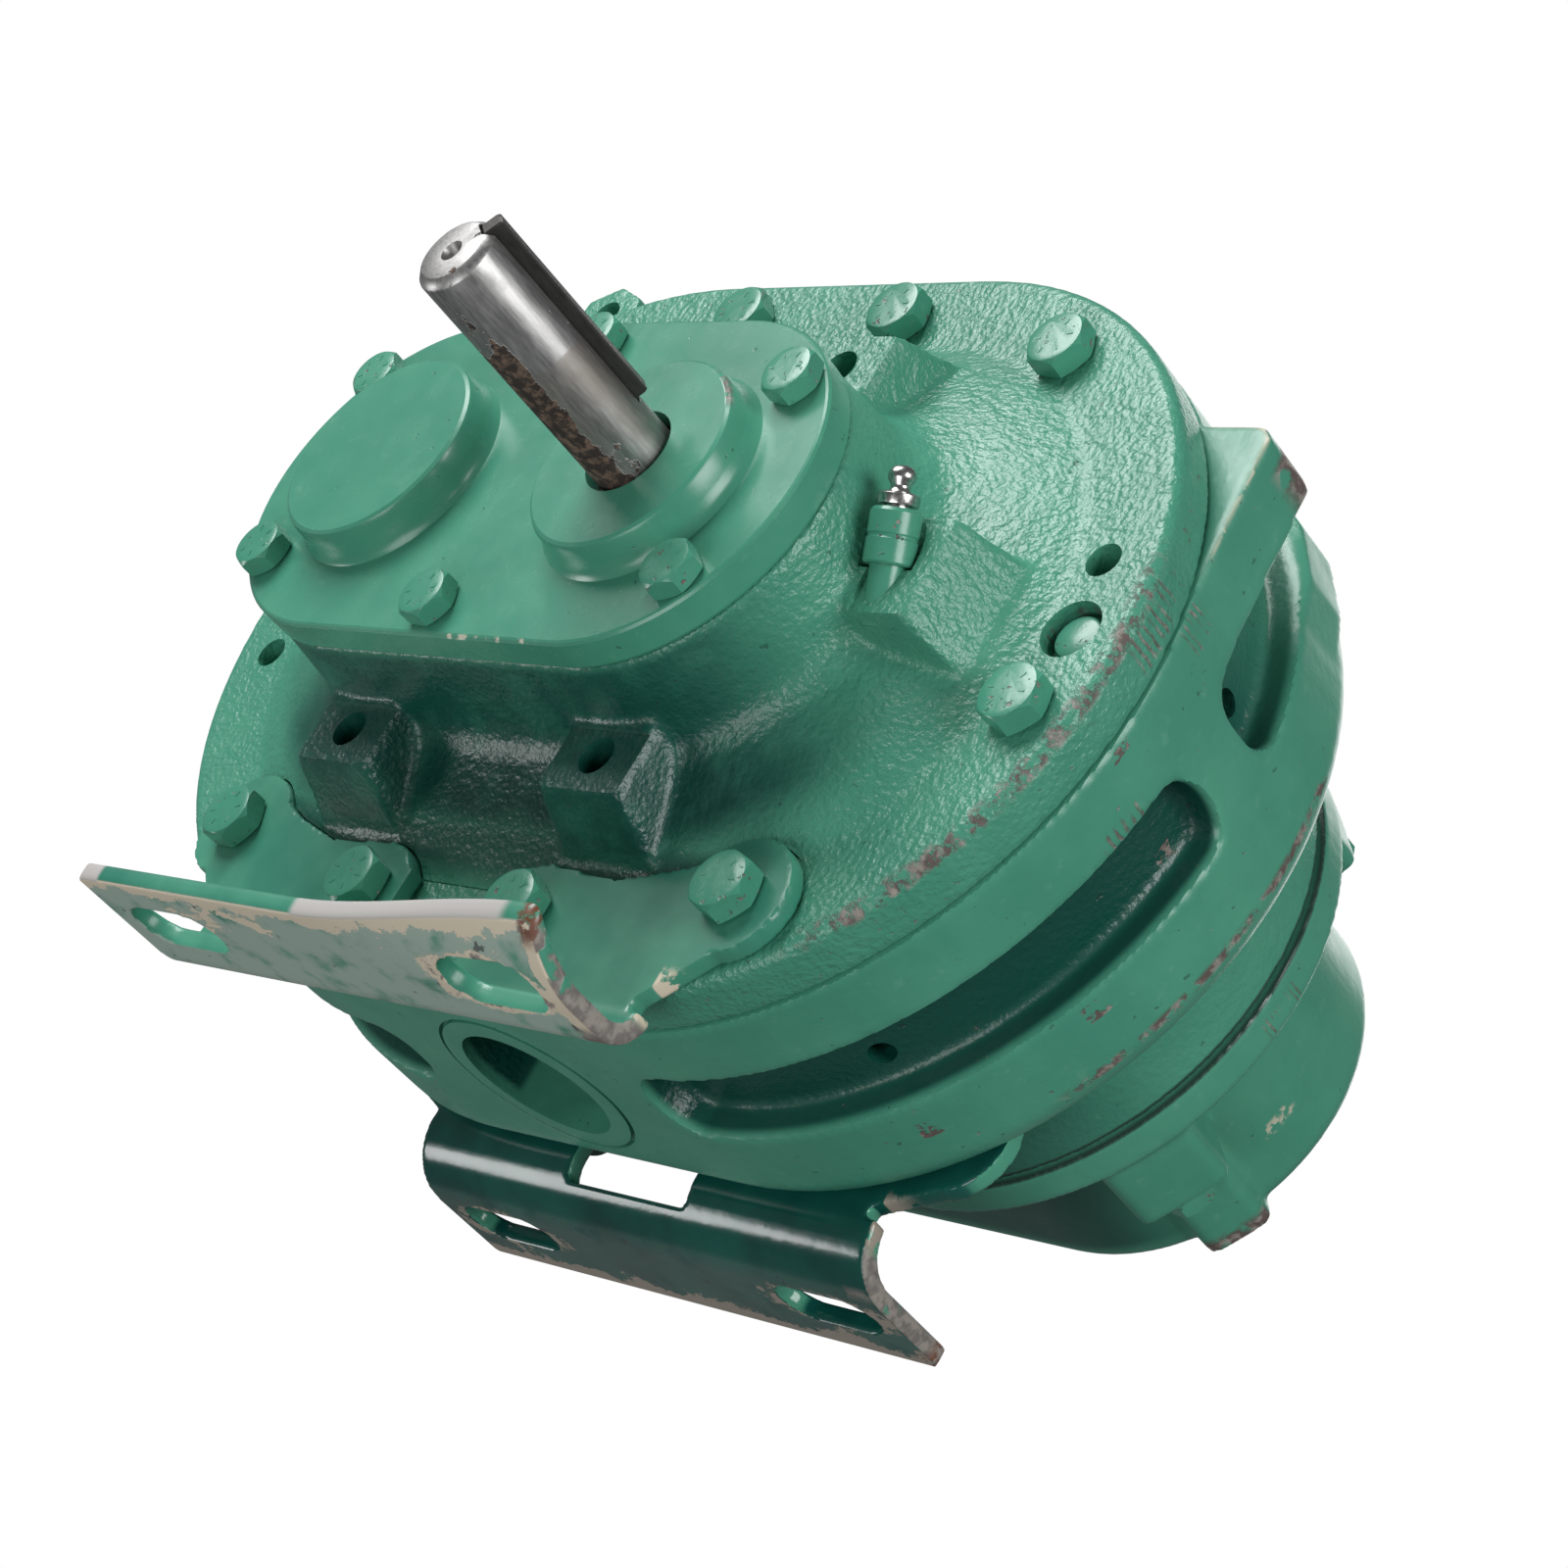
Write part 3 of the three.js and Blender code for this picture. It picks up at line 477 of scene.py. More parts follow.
def foot_paint(name, edge_y, inward, deep=False):
    """Bracket paint: the sole faded, cream primer in a ragged border, steel bare where it was knocked."""
    s = Surface(name)
    top, low = ((0.006, 0.085, 0.066), (0.003, 0.045, 0.038)) if deep else (ENAMEL, ENAMEL_DEEP)
    colour = s.blend(low, top, s.noise(30, 3).rise(0.3, 0.7))
    under = s.facing_z.rise(-0.90, -0.97) if deep else s.facing_z.rise(-0.45, -0.65)
    under = under * s.z.rise(12 - AXIS_Z, 10 - AXIS_Z)
    edge = (s.y - edge_y) * inward                     # in from the free edge
    end = s.x.math("MULTIPLY_ADD", -1.0, 93.0)         # in from the drive-side end
    wobble = s.noise(13, 5, 0.72, shift=3) * 20.0 - 10.0
    faded = under * s.noise(12, 4, shift=21).rise(0.25, 0.5) * (0.10 if deep else 0.95)
    colour = s.blend(colour, FADED, faded)
    spots = s.spots(6, 0.70, 0.015, shift=17) * under
    colour = s.blend(colour, (0.045, 0.05, 0.045), spots * 0.8)

    slots = (s.x - 2.0).math("ABSOLUTE") - 65.0
    slot_y = edge - 20.0
    around = (slots * slots * 0.16 + slot_y * slot_y).math("SQRT")
    near_slot = (around + wobble * 0.55).rise(10.6, 9.8)
    if deep:
        primer = ((edge + wobble * 1.5).rise(7.0, 6.0)
                  | (near_slot * s.noise(5, 4, 0.7, shift=5).rise(0.45, 0.52)))
    else:
        scraped = s.x.band(-66, -12, 12) * edge.rise(24, 6) * 0.2
        scraped = (s.noise(11, 5, 0.7, stretch=(0.5, 1, 1), shift=23) + scraped).rise(0.665, 0.68)
        primer = (edge + wobble * 0.9).rise(4.2, 3.6) | (near_slot * s.x.rise(30, 40)) | scraped
        primer = primer | (end + wobble * 0.6).rise(5.5, 5.0)
    primer = primer * under
    bend_chip = (end.rise(1.0, 0.5) * s.z.band(9 - AXIS_Z, 24 - AXIS_Z, 2.0)
                 * s.noise(7, 4, 0.65, shift=12).rise(0.44, 0.5))
    if deep:
        colour = s.blend(colour, ENAMEL, s.facing_x.rise(0.55, 0.75))
    colour = s.blend(colour, (0.30, 0.265, 0.22) if deep else PRIMER, primer | bend_chip)

    corner = (end + wobble).rise(9, 8) * edge.rise(30, 36) * under
    end_face = (end.rise(1.2, 0.6) * s.z.rise(11 - AXIS_Z, 8 - AXIS_Z)
                * s.noise(15, 3, shift=9).rise(0.38, 0.42))
    streaks = s.noise(3, 4, stretch=(0.4, 1, 1)).rise(0.4, 0.6)
    metal = corner | end_face
    if not deep:
        smear = ((around + wobble).band(5, 8.2, 0.6) * s.x.rise(30, 40) * under
                 * s.noise(6, 3, shift=14).rise(0.44, 0.5))
        metal = metal | smear
    colour = s.blend(colour, s.blend((0.15, 0.135, 0.125), BARE, streaks), metal)

    bright = edge.rise(1.1, 0.5) * s.z.rise(11 - AXIS_Z, 5 - AXIS_Z).math("MAXIMUM", s.x.rise(0, 10))
    bright = bright * ((s.x.rise(5, 8) * s.x.rise(84, 80)) | s.x.rise(-78, -80))
    if not deep:
        colour = s.blend(colour, WORN, bright)
    rust = end.rise(8, 3) * edge.rise(8, 3) * s.noise(4, 4, 0.7, shift=41).rise(0.45, 0.55)
    colour = s.blend(colour, (0.14, 0.055, 0.03), rust)
    bare = primer | metal | bright
    rough = s.noise(8, 3).math("MULTIPLY_ADD", 0.10, 0.10 if deep else 0.26) + (bare | faded) * 0.32
    height = s.noise(4, 3) * 0.04 + s.noise(22, 2) * 0.12 - bare * 0.14 - spots * 0.08
    return s.finish(colour, rough, height)


def steel(name, colour, rough, brush=(1, 1, 1), size=1.2, dirt=None, metallic=1.0, scratch=0.02, film=None):
    s = Surface(name, metallic)
    lines = s.noise(size, 4, 0.6, stretch=brush)
    tone = s.blend(tuple(c * 0.72 for c in colour), colour, lines.rise(0.3, 0.7))
    stains = s.noise(12, 4, 0.6, shift=4).rise(0.5, 0.75)
    tone = s.blend(tone, tuple(c * 0.55 for c in colour), stains * 0.4)
    rough_field = lines.math("MULTIPLY_ADD", 0.22, rough - 0.1) + stains * 0.12
    height = lines * scratch
    if film:
        mask = film(s)
        tone = s.blend(tone, (0.20, 0.175, 0.15), mask)
        rough_field = rough_field + mask * 0.18
    if dirt:
        mask, metal = dirt(s), s.bsdf
        crust = s.blend((0.022, 0.015, 0.012), (0.13, 0.085, 0.06),
                        s.noise(3.5, 4, 0.7, shift=6).rise(0.45, 0.62))
        tone = s.blend(tone, crust, mask)
        rough_field = rough_field + mask * 0.4
        height = height + mask * 0.18
        s.tree.links.new((mask.inverse() * metallic).socket, metal.inputs["Metallic"])
    return s.finish(tone, rough_field, height)


def shaft_crust(s):
    """Old paint and rust left along the lower left of the drive shaft."""
    turn = s.z.math("ARCTAN2", s.x - HALF) * (180 / math.pi)
    side = turn.band(-178, -60, 18)
    along = s.y.band(-58, -6, 7)
    ragged = s.noise(12, 5, 0.68, stretch=(1, 0.55, 1), shift=11)
    return (side * along * 0.38 + ragged).rise(0.63, 0.66)


def shaft_film(s):
    """The half of the shaft nearest the cover was never polished and is stained."""
    start = s.y + s.noise(9, 4, 0.6, shift=19) * 5.0
    return start.rise(-45.6, -44.8) * s.noise(16, 4, 0.6, stretch=(1, 0.4, 1), shift=8).rise(0.2, 0.7) * 0.75


SHAFT_STEEL = steel("shaft_steel", (0.43, 0.425, 0.42), 0.40, (1, 0.12, 1), 0.9, shaft_crust, film=shaft_film)
KEY_STEEL = steel("key_steel", (0.055, 0.052, 0.05), 0.42, (1, 0.2, 1), 1.4, metallic=0.6)
BRIGHT_STEEL = steel("bright_steel", (0.62, 0.61, 0.60), 0.22, (1, 1, 1), 1.0)
BEARING_STEEL = steel("bearing_steel", (0.50, 0.50, 0.49), 0.24, (1, 1, 1), 2.0)
GEAR_STEEL = steel("gear_steel", (0.36, 0.35, 0.34), 0.34, (1, 0.15, 1), 1.5)
NUT_STEEL = steel("nut_steel", (0.06, 0.06, 0.062), 0.45, metallic=0.8)
ROTOR_IRON = steel("rotor_iron", (0.23, 0.22, 0.21), 0.46, (1, 0.25, 1), 1.8, metallic=0.9, scratch=0.03)
RUBBER = steel("seal_rubber", (0.022, 0.022, 0.022), 0.62, metallic=0.0)
DISC_PAINT = enamel("cast_enamel_head", 0.62, disc_chips, None, disc_dark, grain_size=1.75,
                    painted_shade=head_painted_shade)
HOUSING_PAINT = enamel("cast_enamel_housing", 0.10, housing_chips, housing_pale, housing_dark, 2.6,
                       rough_cast=housing_rough, painted_shade=housing_painted_shade)
CASE_PAINT = enamel("cast_enamel_case", 0.08, case_chips, case_pale, case_dark, 2.6, painted_shade=case_painted_shade)
COVER_PAINT = enamel("smooth_enamel_cover", 0.035, cover_chips, cover_pale, None, 3.0, 0.26)
BOLT_PAINT = enamel("enamel_bolts", 0.05, lambda s: s.spots(2.5, 0.70, 0.03, shift=4), None, None, 2.0, 0.26)
DARK_BOLT_PAINT = enamel("enamel_bolts_dark", 0.05, None, None, None, 2.0, 0.22, deep=(0.008, 0.07, 0.06))
FRONT_FOOT_PAINT = foot_paint("worn_enamel_front_foot", FRONT_FACE - FRONT_REACH, 1.0)
REAR_FOOT_PAINT = foot_paint("worn_enamel_rear_foot", REAR_FACE + REAR_REACH, -1.0, deep=True)


# ---- drive-end head plate -------------------------------------------------------------------
def arc(cx, cz, r, a0, a1, n):
    turns = [math.radians(a0 + (a1 - a0) * i / n) for i in range(n + 1)]
    return [(cx + r * math.cos(a), cz + r * math.sin(a)) for a in turns]


def upright_outline(bend, holes, grow=0.0):
    """Outline of a bracket's upright: an ear around each bolt, drawn for one side and mirrored."""
    edge, sole = 86 + grow, -AXIS_Z
    right = [(edge + 2.8, sole + bend - 1), (edge + 2.4, sole + bend + 3),
             *arc(*holes[0], 17 + grow, -80, 150, 24), (78, -81 + grow), (58, -86.5 + grow),
             *arc(*holes[1], 15 + grow, 75, 150, 10)]
    return right + [(-x, z) for x, z in reversed(right)]


def pad(x, z, turn):
    """Cast pad beside the pedestal, reaching out from the axis (x, z) in the direction turn."""
    c, s = round(math.cos(turn)), round(math.sin(turn))

    def level(y, w, r0, r1):
        return [(x + u * c - v * s, y, z + u * s + v * c) for u, v in ((-w, r0), (w, r0), (w, r1), (-w, r1))]
    return stack([level(29.5, 14.2, 42, 73.4), level(33, 15.5, 42, 75), level(DISC_FRONT + 1, 18, 42, 84)])


PADS = [(side * HALF, turn) for side in (1, -1) for turn in (0, math.pi, -side * math.pi / 2)]

head = ovals((10.3, 51.9), (11.4, 52.4), (34, 54.5), (38, 56.0), (42, 60), (45.5, 67), (49, 76), (53, 85),
             (DISC_FRONT - 1, 90), (DISC_FRONT, 92), (DISC_FRONT + 0.01, FLANGE_R - 2.0),
             (DISC_FRONT + 2.0, FLANGE_R), (DISC_BACK, FLANGE_R))
ear = [(-104, 86), (-85, 97), (-94, 118), (-105, 122.5), (-116, 117), (-118, 103)]
head = join(head, *[pad(x, 0, turn) for x, turn in PADS], prism(ear, 60, DISC_BACK))
head = cast(head, 1.3, 5, "head_casting")

grease_turn = Vector((0, 1, 0)).rotation_difference(Vector((0, -0.475, 0.88)))
GREASE_AT = Vector((112, 31.5, -3))


def along_grease(profile, n=40, name="tool"):
    """Turned solid standing on the lubrication axis; profile holds (radius, distance)."""
    rings = []
    for r, d in profile:
        rings.append([GREASE_AT + grease_turn @ Vector((max(r, AXIS_R) * math.cos(2 * math.pi * i / n), d,
                      max(r, AXIS_R) * math.sin(2 * math.pi * i / n))) for i in range(n)])
    return stack(rings, name)


tools = [prism(upright_outline(FRONT_BEND, FRONT_HOLES, 0.5), 49.5, DISC_FRONT)]
tools += [along_grease([(7.8, 1.5), (7.8, 16)])]
for x, turn in PADS:                                   # machined front faces
    c, s = round(math.cos(turn)), round(math.sin(turn))
    corners = [(-19, 56), (19, 56), (19, 92), (-19, 92)]
    tools.append(prism([(x + u * c - v * s, u * s + v * c) for u, v in corners], 20, 31))
for x in (HALF, -HALF):
    tools += [rod(31, 5, 28.5, x), rod(27, 28, 62, x), rod(18.4, 60, 75, x)]
    tools += [rod(5.6, 20, 46, x, z) for z in (63.5, -63.5)]
for side in (1, -1):
    tools += [rod(5.1, 50, 68, side * 149.4, side * 23.8), rod(8.6, 50, 62.4, side * 151.6, side * 2.7)]
tools.append(rod(5, 50, 80, -104, 111))
head = cut(head, *tools)
finish_piece(head, "head_casting", "casing", DISC_PAINT, ["drive_head_plate"])

# ---- housing --------------------------------------------------------------------------------


def pocket(a0, a1):
    """Belt pocket sunk between the rims, between two angles about the drive axis."""
    def outline(y, grow, n=30):
        edge = [math.radians(a0 - grow + (a1 - a0 + 2 * grow) * i / n) for i in range(n + 1)]
        return ([(HALF + 135 * math.cos(a), y, 135 * math.sin(a)) for a in edge]
                + [(HALF + GROOVE_R * math.cos(a), y, GROOVE_R * math.sin(a)) for a in reversed(edge)])
    middle, half = (GROOVE_FRONT + GROOVE_BACK) / 2, (GROOVE_BACK - GROOVE_FRONT) / 2
    turns = [math.pi * (i / 12 - 0.5) for i in range(13)]
    return stack([outline(middle + half * math.sin(t), -6 + 6 * math.cos(t) ** 0.7) for t in turns[1:-1]])


def both(tool):
    return [tool, mirrored(tool)]


def shoulder(points, y0, y1):
    return both(prism(points, y0, y1))


EAR_RISE = ((20, 100), (26, 118), (36, 121.2), (46, 123), (56, 122.6), (64, 120.4), (70, 117.5), (72, 100))
body = ovals((BODY_FRONT, FLANGE_R - 0.4), (BODY_FRONT + 0.5, FLANGE_R), (142, FLANGE_R), (146, FLANGE_R - 1.6),
             (149.2, FLANGE_R - 4.2), (BODY_BACK, FLANGE_R - 8), (BODY_BACK + 0.01, NECK_R + 3.2),
             (BODY_BACK + 1.2, NECK_R + 1.4), (BODY_BACK + 3.4, NECK_R), (NECK_BACK, NECK_R))
front_ear = [(120, 60), (168.1, 0), (162.6, 76), (158.5, 80.2), (120, 80.2)]
rear_ear = [(HALF + r * math.cos(math.radians(a)), r * math.sin(math.radians(a))) for a, r in EAR_RISE]
body = join(body, *shoulder(front_ear, BODY_FRONT, GROOVE_FRONT), *shoulder(rear_ear, GROOVE_BACK + 1, 139))
body = cut(body, *both(pocket(-91, -4)), *both(pocket(5, 91)))
body = join(body, *[pillar(PORT_RING, min(110 * s, PORT_FACE * s), max(110 * s, PORT_FACE * s), 0, PORT_Y)
                    for s in (1, -1)])
body = cast(body, 1.35, 4, "housing_casting")
tools = [ovals((172, 68), (NECK_BACK + 1, 68)), pillar(19.5, -100, 100, 0, PORT_Y)]
for s in (1, -1):
    tools.append(pillar(PORT_R, *sorted((92 * s, (PORT_FACE + 2) * s)), 0, PORT_Y))
for x in (HALF, -HALF):
    tools += [rod(CHAMBER_R, BODY_FRONT - 2, 142.3, x, 0, 96), rod(24.4, 140, 153, x), rod(31, 152, 175, x)]
for angle, y in ((-57, 109.6), (11.5, 109)):
    a = math.radians(angle)
    out = Vector((math.cos(a), 0, math.sin(a)))
    side = Vector((-math.sin(a), 0, math.cos(a)))
    ring = [Vector((HALF, y, 0)) + (side * math.cos(t) + Vector((0, 1, 0)) * math.sin(t)) * 3.8
            for t in (2 * math.pi * i / 24 for i in range(24))]
    tools += both(stack([[p + out * r for p in ring] for r in (98, 118)]))
for s in (1, -1):                                      # turned groove around each port ring
    ends = sorted((117 * s, 121 * s))
    tools.append(cut(pillar(PORT_RING + 0.9, *ends, 0, PORT_Y),
                     pillar(PORT_RING - 0.3, ends[0] - 1, ends[1] + 1, 0, PORT_Y)))
body = cut(body, *tools)
finish_piece(body, "housing_casting", "casing", HOUSING_PAINT, ["housing"])

# ---- gear case ------------------------------------------------------------------------------


def boss(a, w, reach, y0, y1):
    """Bolt boss standing out from the hub at the angle a about the drive axis, with a rounded rear end."""
    c, s = math.cos(a), math.sin(a)
    lip = 3.5
    rim = [(-w, 45), (w, 45), (w, reach - lip), (w - lip * 0.3, reach - lip * 0.3), (w - lip, reach),
           (-w + lip, reach), (-w + lip * 0.3, reach - lip * 0.3), (-w, reach - lip)]
    return both(prism([(HALF - u * s + v * c, u * c + v * s) for u, v in rim], y0, y1))


UPPER, LOWER = math.radians(43), math.radians(-43)
case = ovals((CASE_FRONT, CASE_R), (CASE_FLANGE - 1.2, CASE_R), (CASE_FLANGE, CASE_R - 1.4),
             (CASE_FLANGE + 0.01, HUB_R + 4), (CASE_FLANGE + 1.4, HUB_R + 1.5), (CASE_FLANGE + 4, HUB_R),
             (CASE_BACK - 5, HUB_R - 0.5),
             (CASE_BACK - 2, HUB_R - 2), (CASE_BACK - 0.5, HUB_R - 4), (CASE_BACK, HUB_R - 6))
case = join(case, *boss(UPPER, 14.4, 84, CASE_FLANGE - 2, 218), *boss(LOWER, 14.4, 84, CASE_FLANGE - 2, 231),
            *boss(LOWER, 10.5, 66.8, 222, CASE_BACK + 1), pillar(13, 55, 67, -30, 240))
case = cast(case, 1.2, 6, "gear_case_casting")
case = cut(case, ovals((CASE_FRONT - 2, 57), (CASE_BACK - 7.5, 57)), pillar(7.3, 40, 70, -30, 240),
           rod(7.3, 255, 280, HALF, -38))
finish_piece(case, "gear_case_casting", "casing", CASE_PAINT, ["gear_case"])

# ---- drive-end cover ------------------------------------------------------------------------
cover = ovals((0, 51.7), (0.35, 52.3), (1.1, 52.8), (9.2, 52.8), (10, 52.4))
input_boss = [(35, 1.5), (33.6, 0.2), (32.5, -0.8), (31.6, -2.4), (31.1, -4.5), (30.7, -8.6),
              (30.2, -9.5), (29.3, -10.1), (0, -10.1)]
blind_boss = [(34.4, 1.5), (33.2, 0.3), (32.3, -0.8), (31.7, -2.4), (31.3, -4.5), (31, -9.4),
              (30.5, -10.4), (29.6, -11), (0, -11)]
cover = join(cover, turned(input_boss, HALF, 0, 96), turned(blind_boss, -HALF, 0, 96))
cover = cut(cover, turned([(13.6, -12), (12.7, -9.4), (12.7, 14)], HALF, 0, 64), rod(19, -4.6, 12, HALF),
            rod(24, -4, 12, -HALF))
finish_piece(cover, "cover_casting", "casing", COVER_PAINT, ["drive_end_cover"], 24)

# ---- bolts ----------------------------------------------------------------------------------


def hex_head(across, head):
    """Hexagon head along -Y from the origin plane, with a turned chamfer and plain grade dashes."""
    corner = across / math.sqrt(3)
    hexagon = turned([(corner, 0.02), (corner, -head)], n=6)
    crown = turned([(across * 0.42, 0.8), (across * 0.47, 0.0), (corner * 1.01, -0.7),
                    (corner * 1.01, -head + 1.6), (across / 2, -head + 0.25), (across / 2 - 1.0, -head)], n=72)
    body = combine(hexagon, [crown], "INTERSECT")
    dashes = []
    for i in range(6):
        a = 2 * math.pi * i / 6 + 0.3
        c, s = math.cos(a), math.sin(a)
        rim = [(across * 0.26, -0.22), (across * 0.37, -0.22), (across * 0.37, 0.22), (across * 0.26, 0.22)]
        dashes.append(prism([(u * c - v * s, u * s + v * c) for u, v in rim], -head - 0.16, -head + 0.5))
    return join(body, *dashes)


def bolts(prefix, count, across, head, direction, material, turns):
    for i in range(1, count + 1):
        node = f"{prefix}_{i}"
        low, high = span(node)
        face = (low.y + head) if direction < 0 else (high.y - head)
        obj = hex_head(across, head)
        centre = place(((low.x + high.x) / 2, face, (low.z + high.z) / 2))
        zero = place((0, 0, 0))
        flip = Matrix.Identity(4) if direction < 0 else Matrix.Rotation(math.pi, 4, "Z")
        turn = Matrix.Rotation(math.radians(turns[(i - 1) % len(turns)]), 4, "Y")
        obj.data.transform(Matrix.Translation(centre) @ turn @ flip @ Matrix.Translation(-zero))
        finish_piece(obj, f"{prefix}_{i}_head", "casing", material, [node], 28)


bolts("cover_bolt", 6, 14.2, 6.1, -1, BOLT_PAINT, [12, 40, 25, 5, 50, 33])
bolts("head_bolt", 6, 16.2, 7.1, -1, BOLT_PAINT, [20, 44, 8, 30, 15, 52])
bolts("foot_bolt", 4, 16.2, 7.1, -1, BOLT_PAINT, [18, 36, 3, 27])
bolts("rear_foot_bolt", 4, 16.2, 7.1, 1, DARK_BOLT_PAINT, [10, 34, 22, 47])
bolts("case_bolt", 4, 14.2, 6.1, 1, BOLT_PAINT, [25, 7, 41, 16])

for i, side in ((1, 1), (2, -1)):
    pin = turned([(6.6, 88), (6.6, 60.2), (6.2, 59.4), (5.4, 59), (0, 59)], side * 151.6, side * 2.7)
    finish_piece(pin, f"dowel_{i}", "casing", BOLT_PAINT, [f"dowel_pin_{i}"])

# ---- lubrication fitting --------------------------------------------------------------------
bushing = along_grease([(0, -13), (4.6, -13), (4.6, 2.2), (6.0, 2.3), (6.5, 2.8), (6.5, 8.4), (6.2, 8.8),
                        (6.2, 9.4), (6.5, 9.8), (6.5, 15.2), (5.9, 16.1), (3.4, 16.3), (3.4, 6), (0, 6)])
finish_piece(bushing, "grease_bushing_turned", "casing", BOLT_PAINT, ["grease_bushing"])
zerk = along_grease([(0, 6.4), (3.2, 6.4), (3.2, 16.9), (5.1, 17.1), (5.3, 17.6), (5.3, 19.6), (4.9, 20.0),
                     (3.1, 20.4), (2.5, 21.2), (2.5, 22.2), (3.3, 23.2), (3.6, 24.2), (3.4, 25.4), (2.6, 26.4),
                     (1.4, 26.9), (0.5, 27), (0, 26.4)])
finish_piece(zerk, "grease_nipple", "casing", BRIGHT_STEEL, ["grease_fitting"], 40)

# ---- plugs on the gear case -----------------------------------------------------------------
for name, turn, at in (("fill_plug", Matrix.Rotation(math.pi / 2, 4, "X"), (-30, 240, 55.8)),
                       ("drain_plug", Matrix.Identity(4), (HALF, CASE_BACK - 8.2, -38))):
    shank = 12 if name == "fill_plug" else 9
    collar = turned([(6.9, 0), (6.9, shank), (10.2, shank), (10.6, shank + 0.5), (10.6, shank + 1.8),
                     (10.2, shank + 2.3)])
    hexagon = turned([(8, shank), (8, shank + 7.5)], n=6)
    crown = turned([(9, shank), (9, shank + 6.3), (7.4, shank + 7.3), (6.2, shank + 7.5)], n=48)
    plug = join(collar, combine(hexagon, [crown], "INTERSECT"))
    plug.data.transform(Matrix.Translation(place(at)) @ turn @ Matrix.Translation(-place((0, 0, 0))))
    finish_piece(plug, f"{name}_turned", "casing", BOLT_PAINT, [name])


# ---- bracket feet ---------------------------------------------------------------------------
def bracket(inner, direction, reach, bend, notch, holes, thick=5.5, half=91, shift=2):
    sole = -AXIS_Z
    outer = inner + direction * thick
    upright = prism(upright_outline(bend, holes), *sorted((inner, outer)))
    quarter = [math.pi / 2 * i / 16 for i in range(17)]
    profile = [(inner + direction * bend * (1 - math.cos(a)), sole + bend * (1 - math.sin(a)))
               for a in quarter]
    profile += [(inner + direction * reach, sole), (inner + direction * reach, sole + thick)]
    inside = bend - thick
    profile += [(inner + direction * (bend - inside * math.cos(a)), sole + bend - inside * math.sin(a))
                for a in reversed(quarter)]
    plate = stack([[(x, y, z) for y, z in profile] for x in (shift - half, shift + half)])
    foot = join(upright, plate)
    slot_y = inner + direction * (reach - 20)
    tools = [block(-notch, notch, inner - 30, inner + 30, sole + 9, -80)]
    for x in (shift + 65, shift - 65):
        ends = [(x + s * 10 + 8 * math.cos(a), slot_y + 8 * math.sin(a)) for s, a0 in ((1, -0.5), (-1, 0.5))
                for a in (math.pi * (a0 + i / 14) for i in range(15))]
        tools.append(stack([[(u, v, z) for u, v in ends] for z in (sole - 2, sole + thick + 2)]))
    for s in (1, -1):
        cx, cy = shift + s * (half + 2), inner + direction * reach + direction * 2
        rim = [(cx + 5.7 * math.cos(a), cy + 5.7 * math.sin(a)) for a in (math.pi / 2 * k for k in range(4))]
        tools.append(stack([[(u, v, z) for u, v in rim] for z in (sole - 20, sole + 20)]))
    tools += [rod(6.2, min(inner, outer) - 1, max(inner, outer) + 1, x, z) for x, z in holes]
    tools += [rod(6.2, min(inner, outer) - 1, max(inner, outer) + 1, -x, z) for x, z in holes]
    return cut(foot, *tools)


front = bracket(FRONT_FACE, -1, FRONT_REACH, FRONT_BEND, 19, FRONT_HOLES)
front = cast(front, 0.95, 2, "front_foot_plate")
for v in front.data.vertices:                          # knocked up along the right of its free edge
    x, y, z = v.co.x * 1000, v.co.y * 1000 - COVER_Y, v.co.z * 1000 - AXIS_Z
    along = max(0.0, min(1.0, (x - 5) / 85))
    out = max(0.0, min(1.0, (34 - y) / 25))
    if z < -AXIS_Z + 12:
        v.co.z += 0.009 * along * along * (3 - 2 * along) * out * out
finish_piece(front, "front_foot_plate", "casing", FRONT_FOOT_PAINT, ["drive_end_foot"], 50)
rear = cut(bracket(REAR_FACE, 1, REAR_REACH, REAR_BEND, 24, REAR_HOLES),
           ovals((BODY_BACK - 1, NECK_R + 4), (NECK_BACK, NECK_R + 4)))
rear = cast(rear, 0.95, 2, "rear_foot_plate")
finish_piece(rear, "rear_foot_plate", "casing", REAR_FOOT_PAINT, ["gear_end_foot"], 50)


# ---- drive shaft and key --------------------------------------------------------------------
def key_bar(width, r0, r1, y0, y1, bevel=0.0):
    """Bar lying along the shaft at the key's angle."""
    c, s = math.cos(KEY_TURN), math.sin(KEY_TURN)

    def ring(y, shrink):
        w, lo, hi = width / 2 - shrink, r0 + shrink, r1 - shrink
        b = min(bevel, w * 0.9)
        rim = [(lo, -w), (hi - b, -w), (hi, -w + b), (hi, w - b), (hi - b, w), (lo, w)] if b else \
              [(lo, -w), (hi, -w), (hi, w), (lo, w)]
        return [(HALF + u * c - v * s, y, u * s + v * c) for u, v in rim]
    return stack([ring(y0, bevel), ring(y0 + bevel, 0), ring(y1 - bevel, 0), ring(y1, bevel)] if bevel
                 else [ring(y0, 0), ring(y1, 0)])


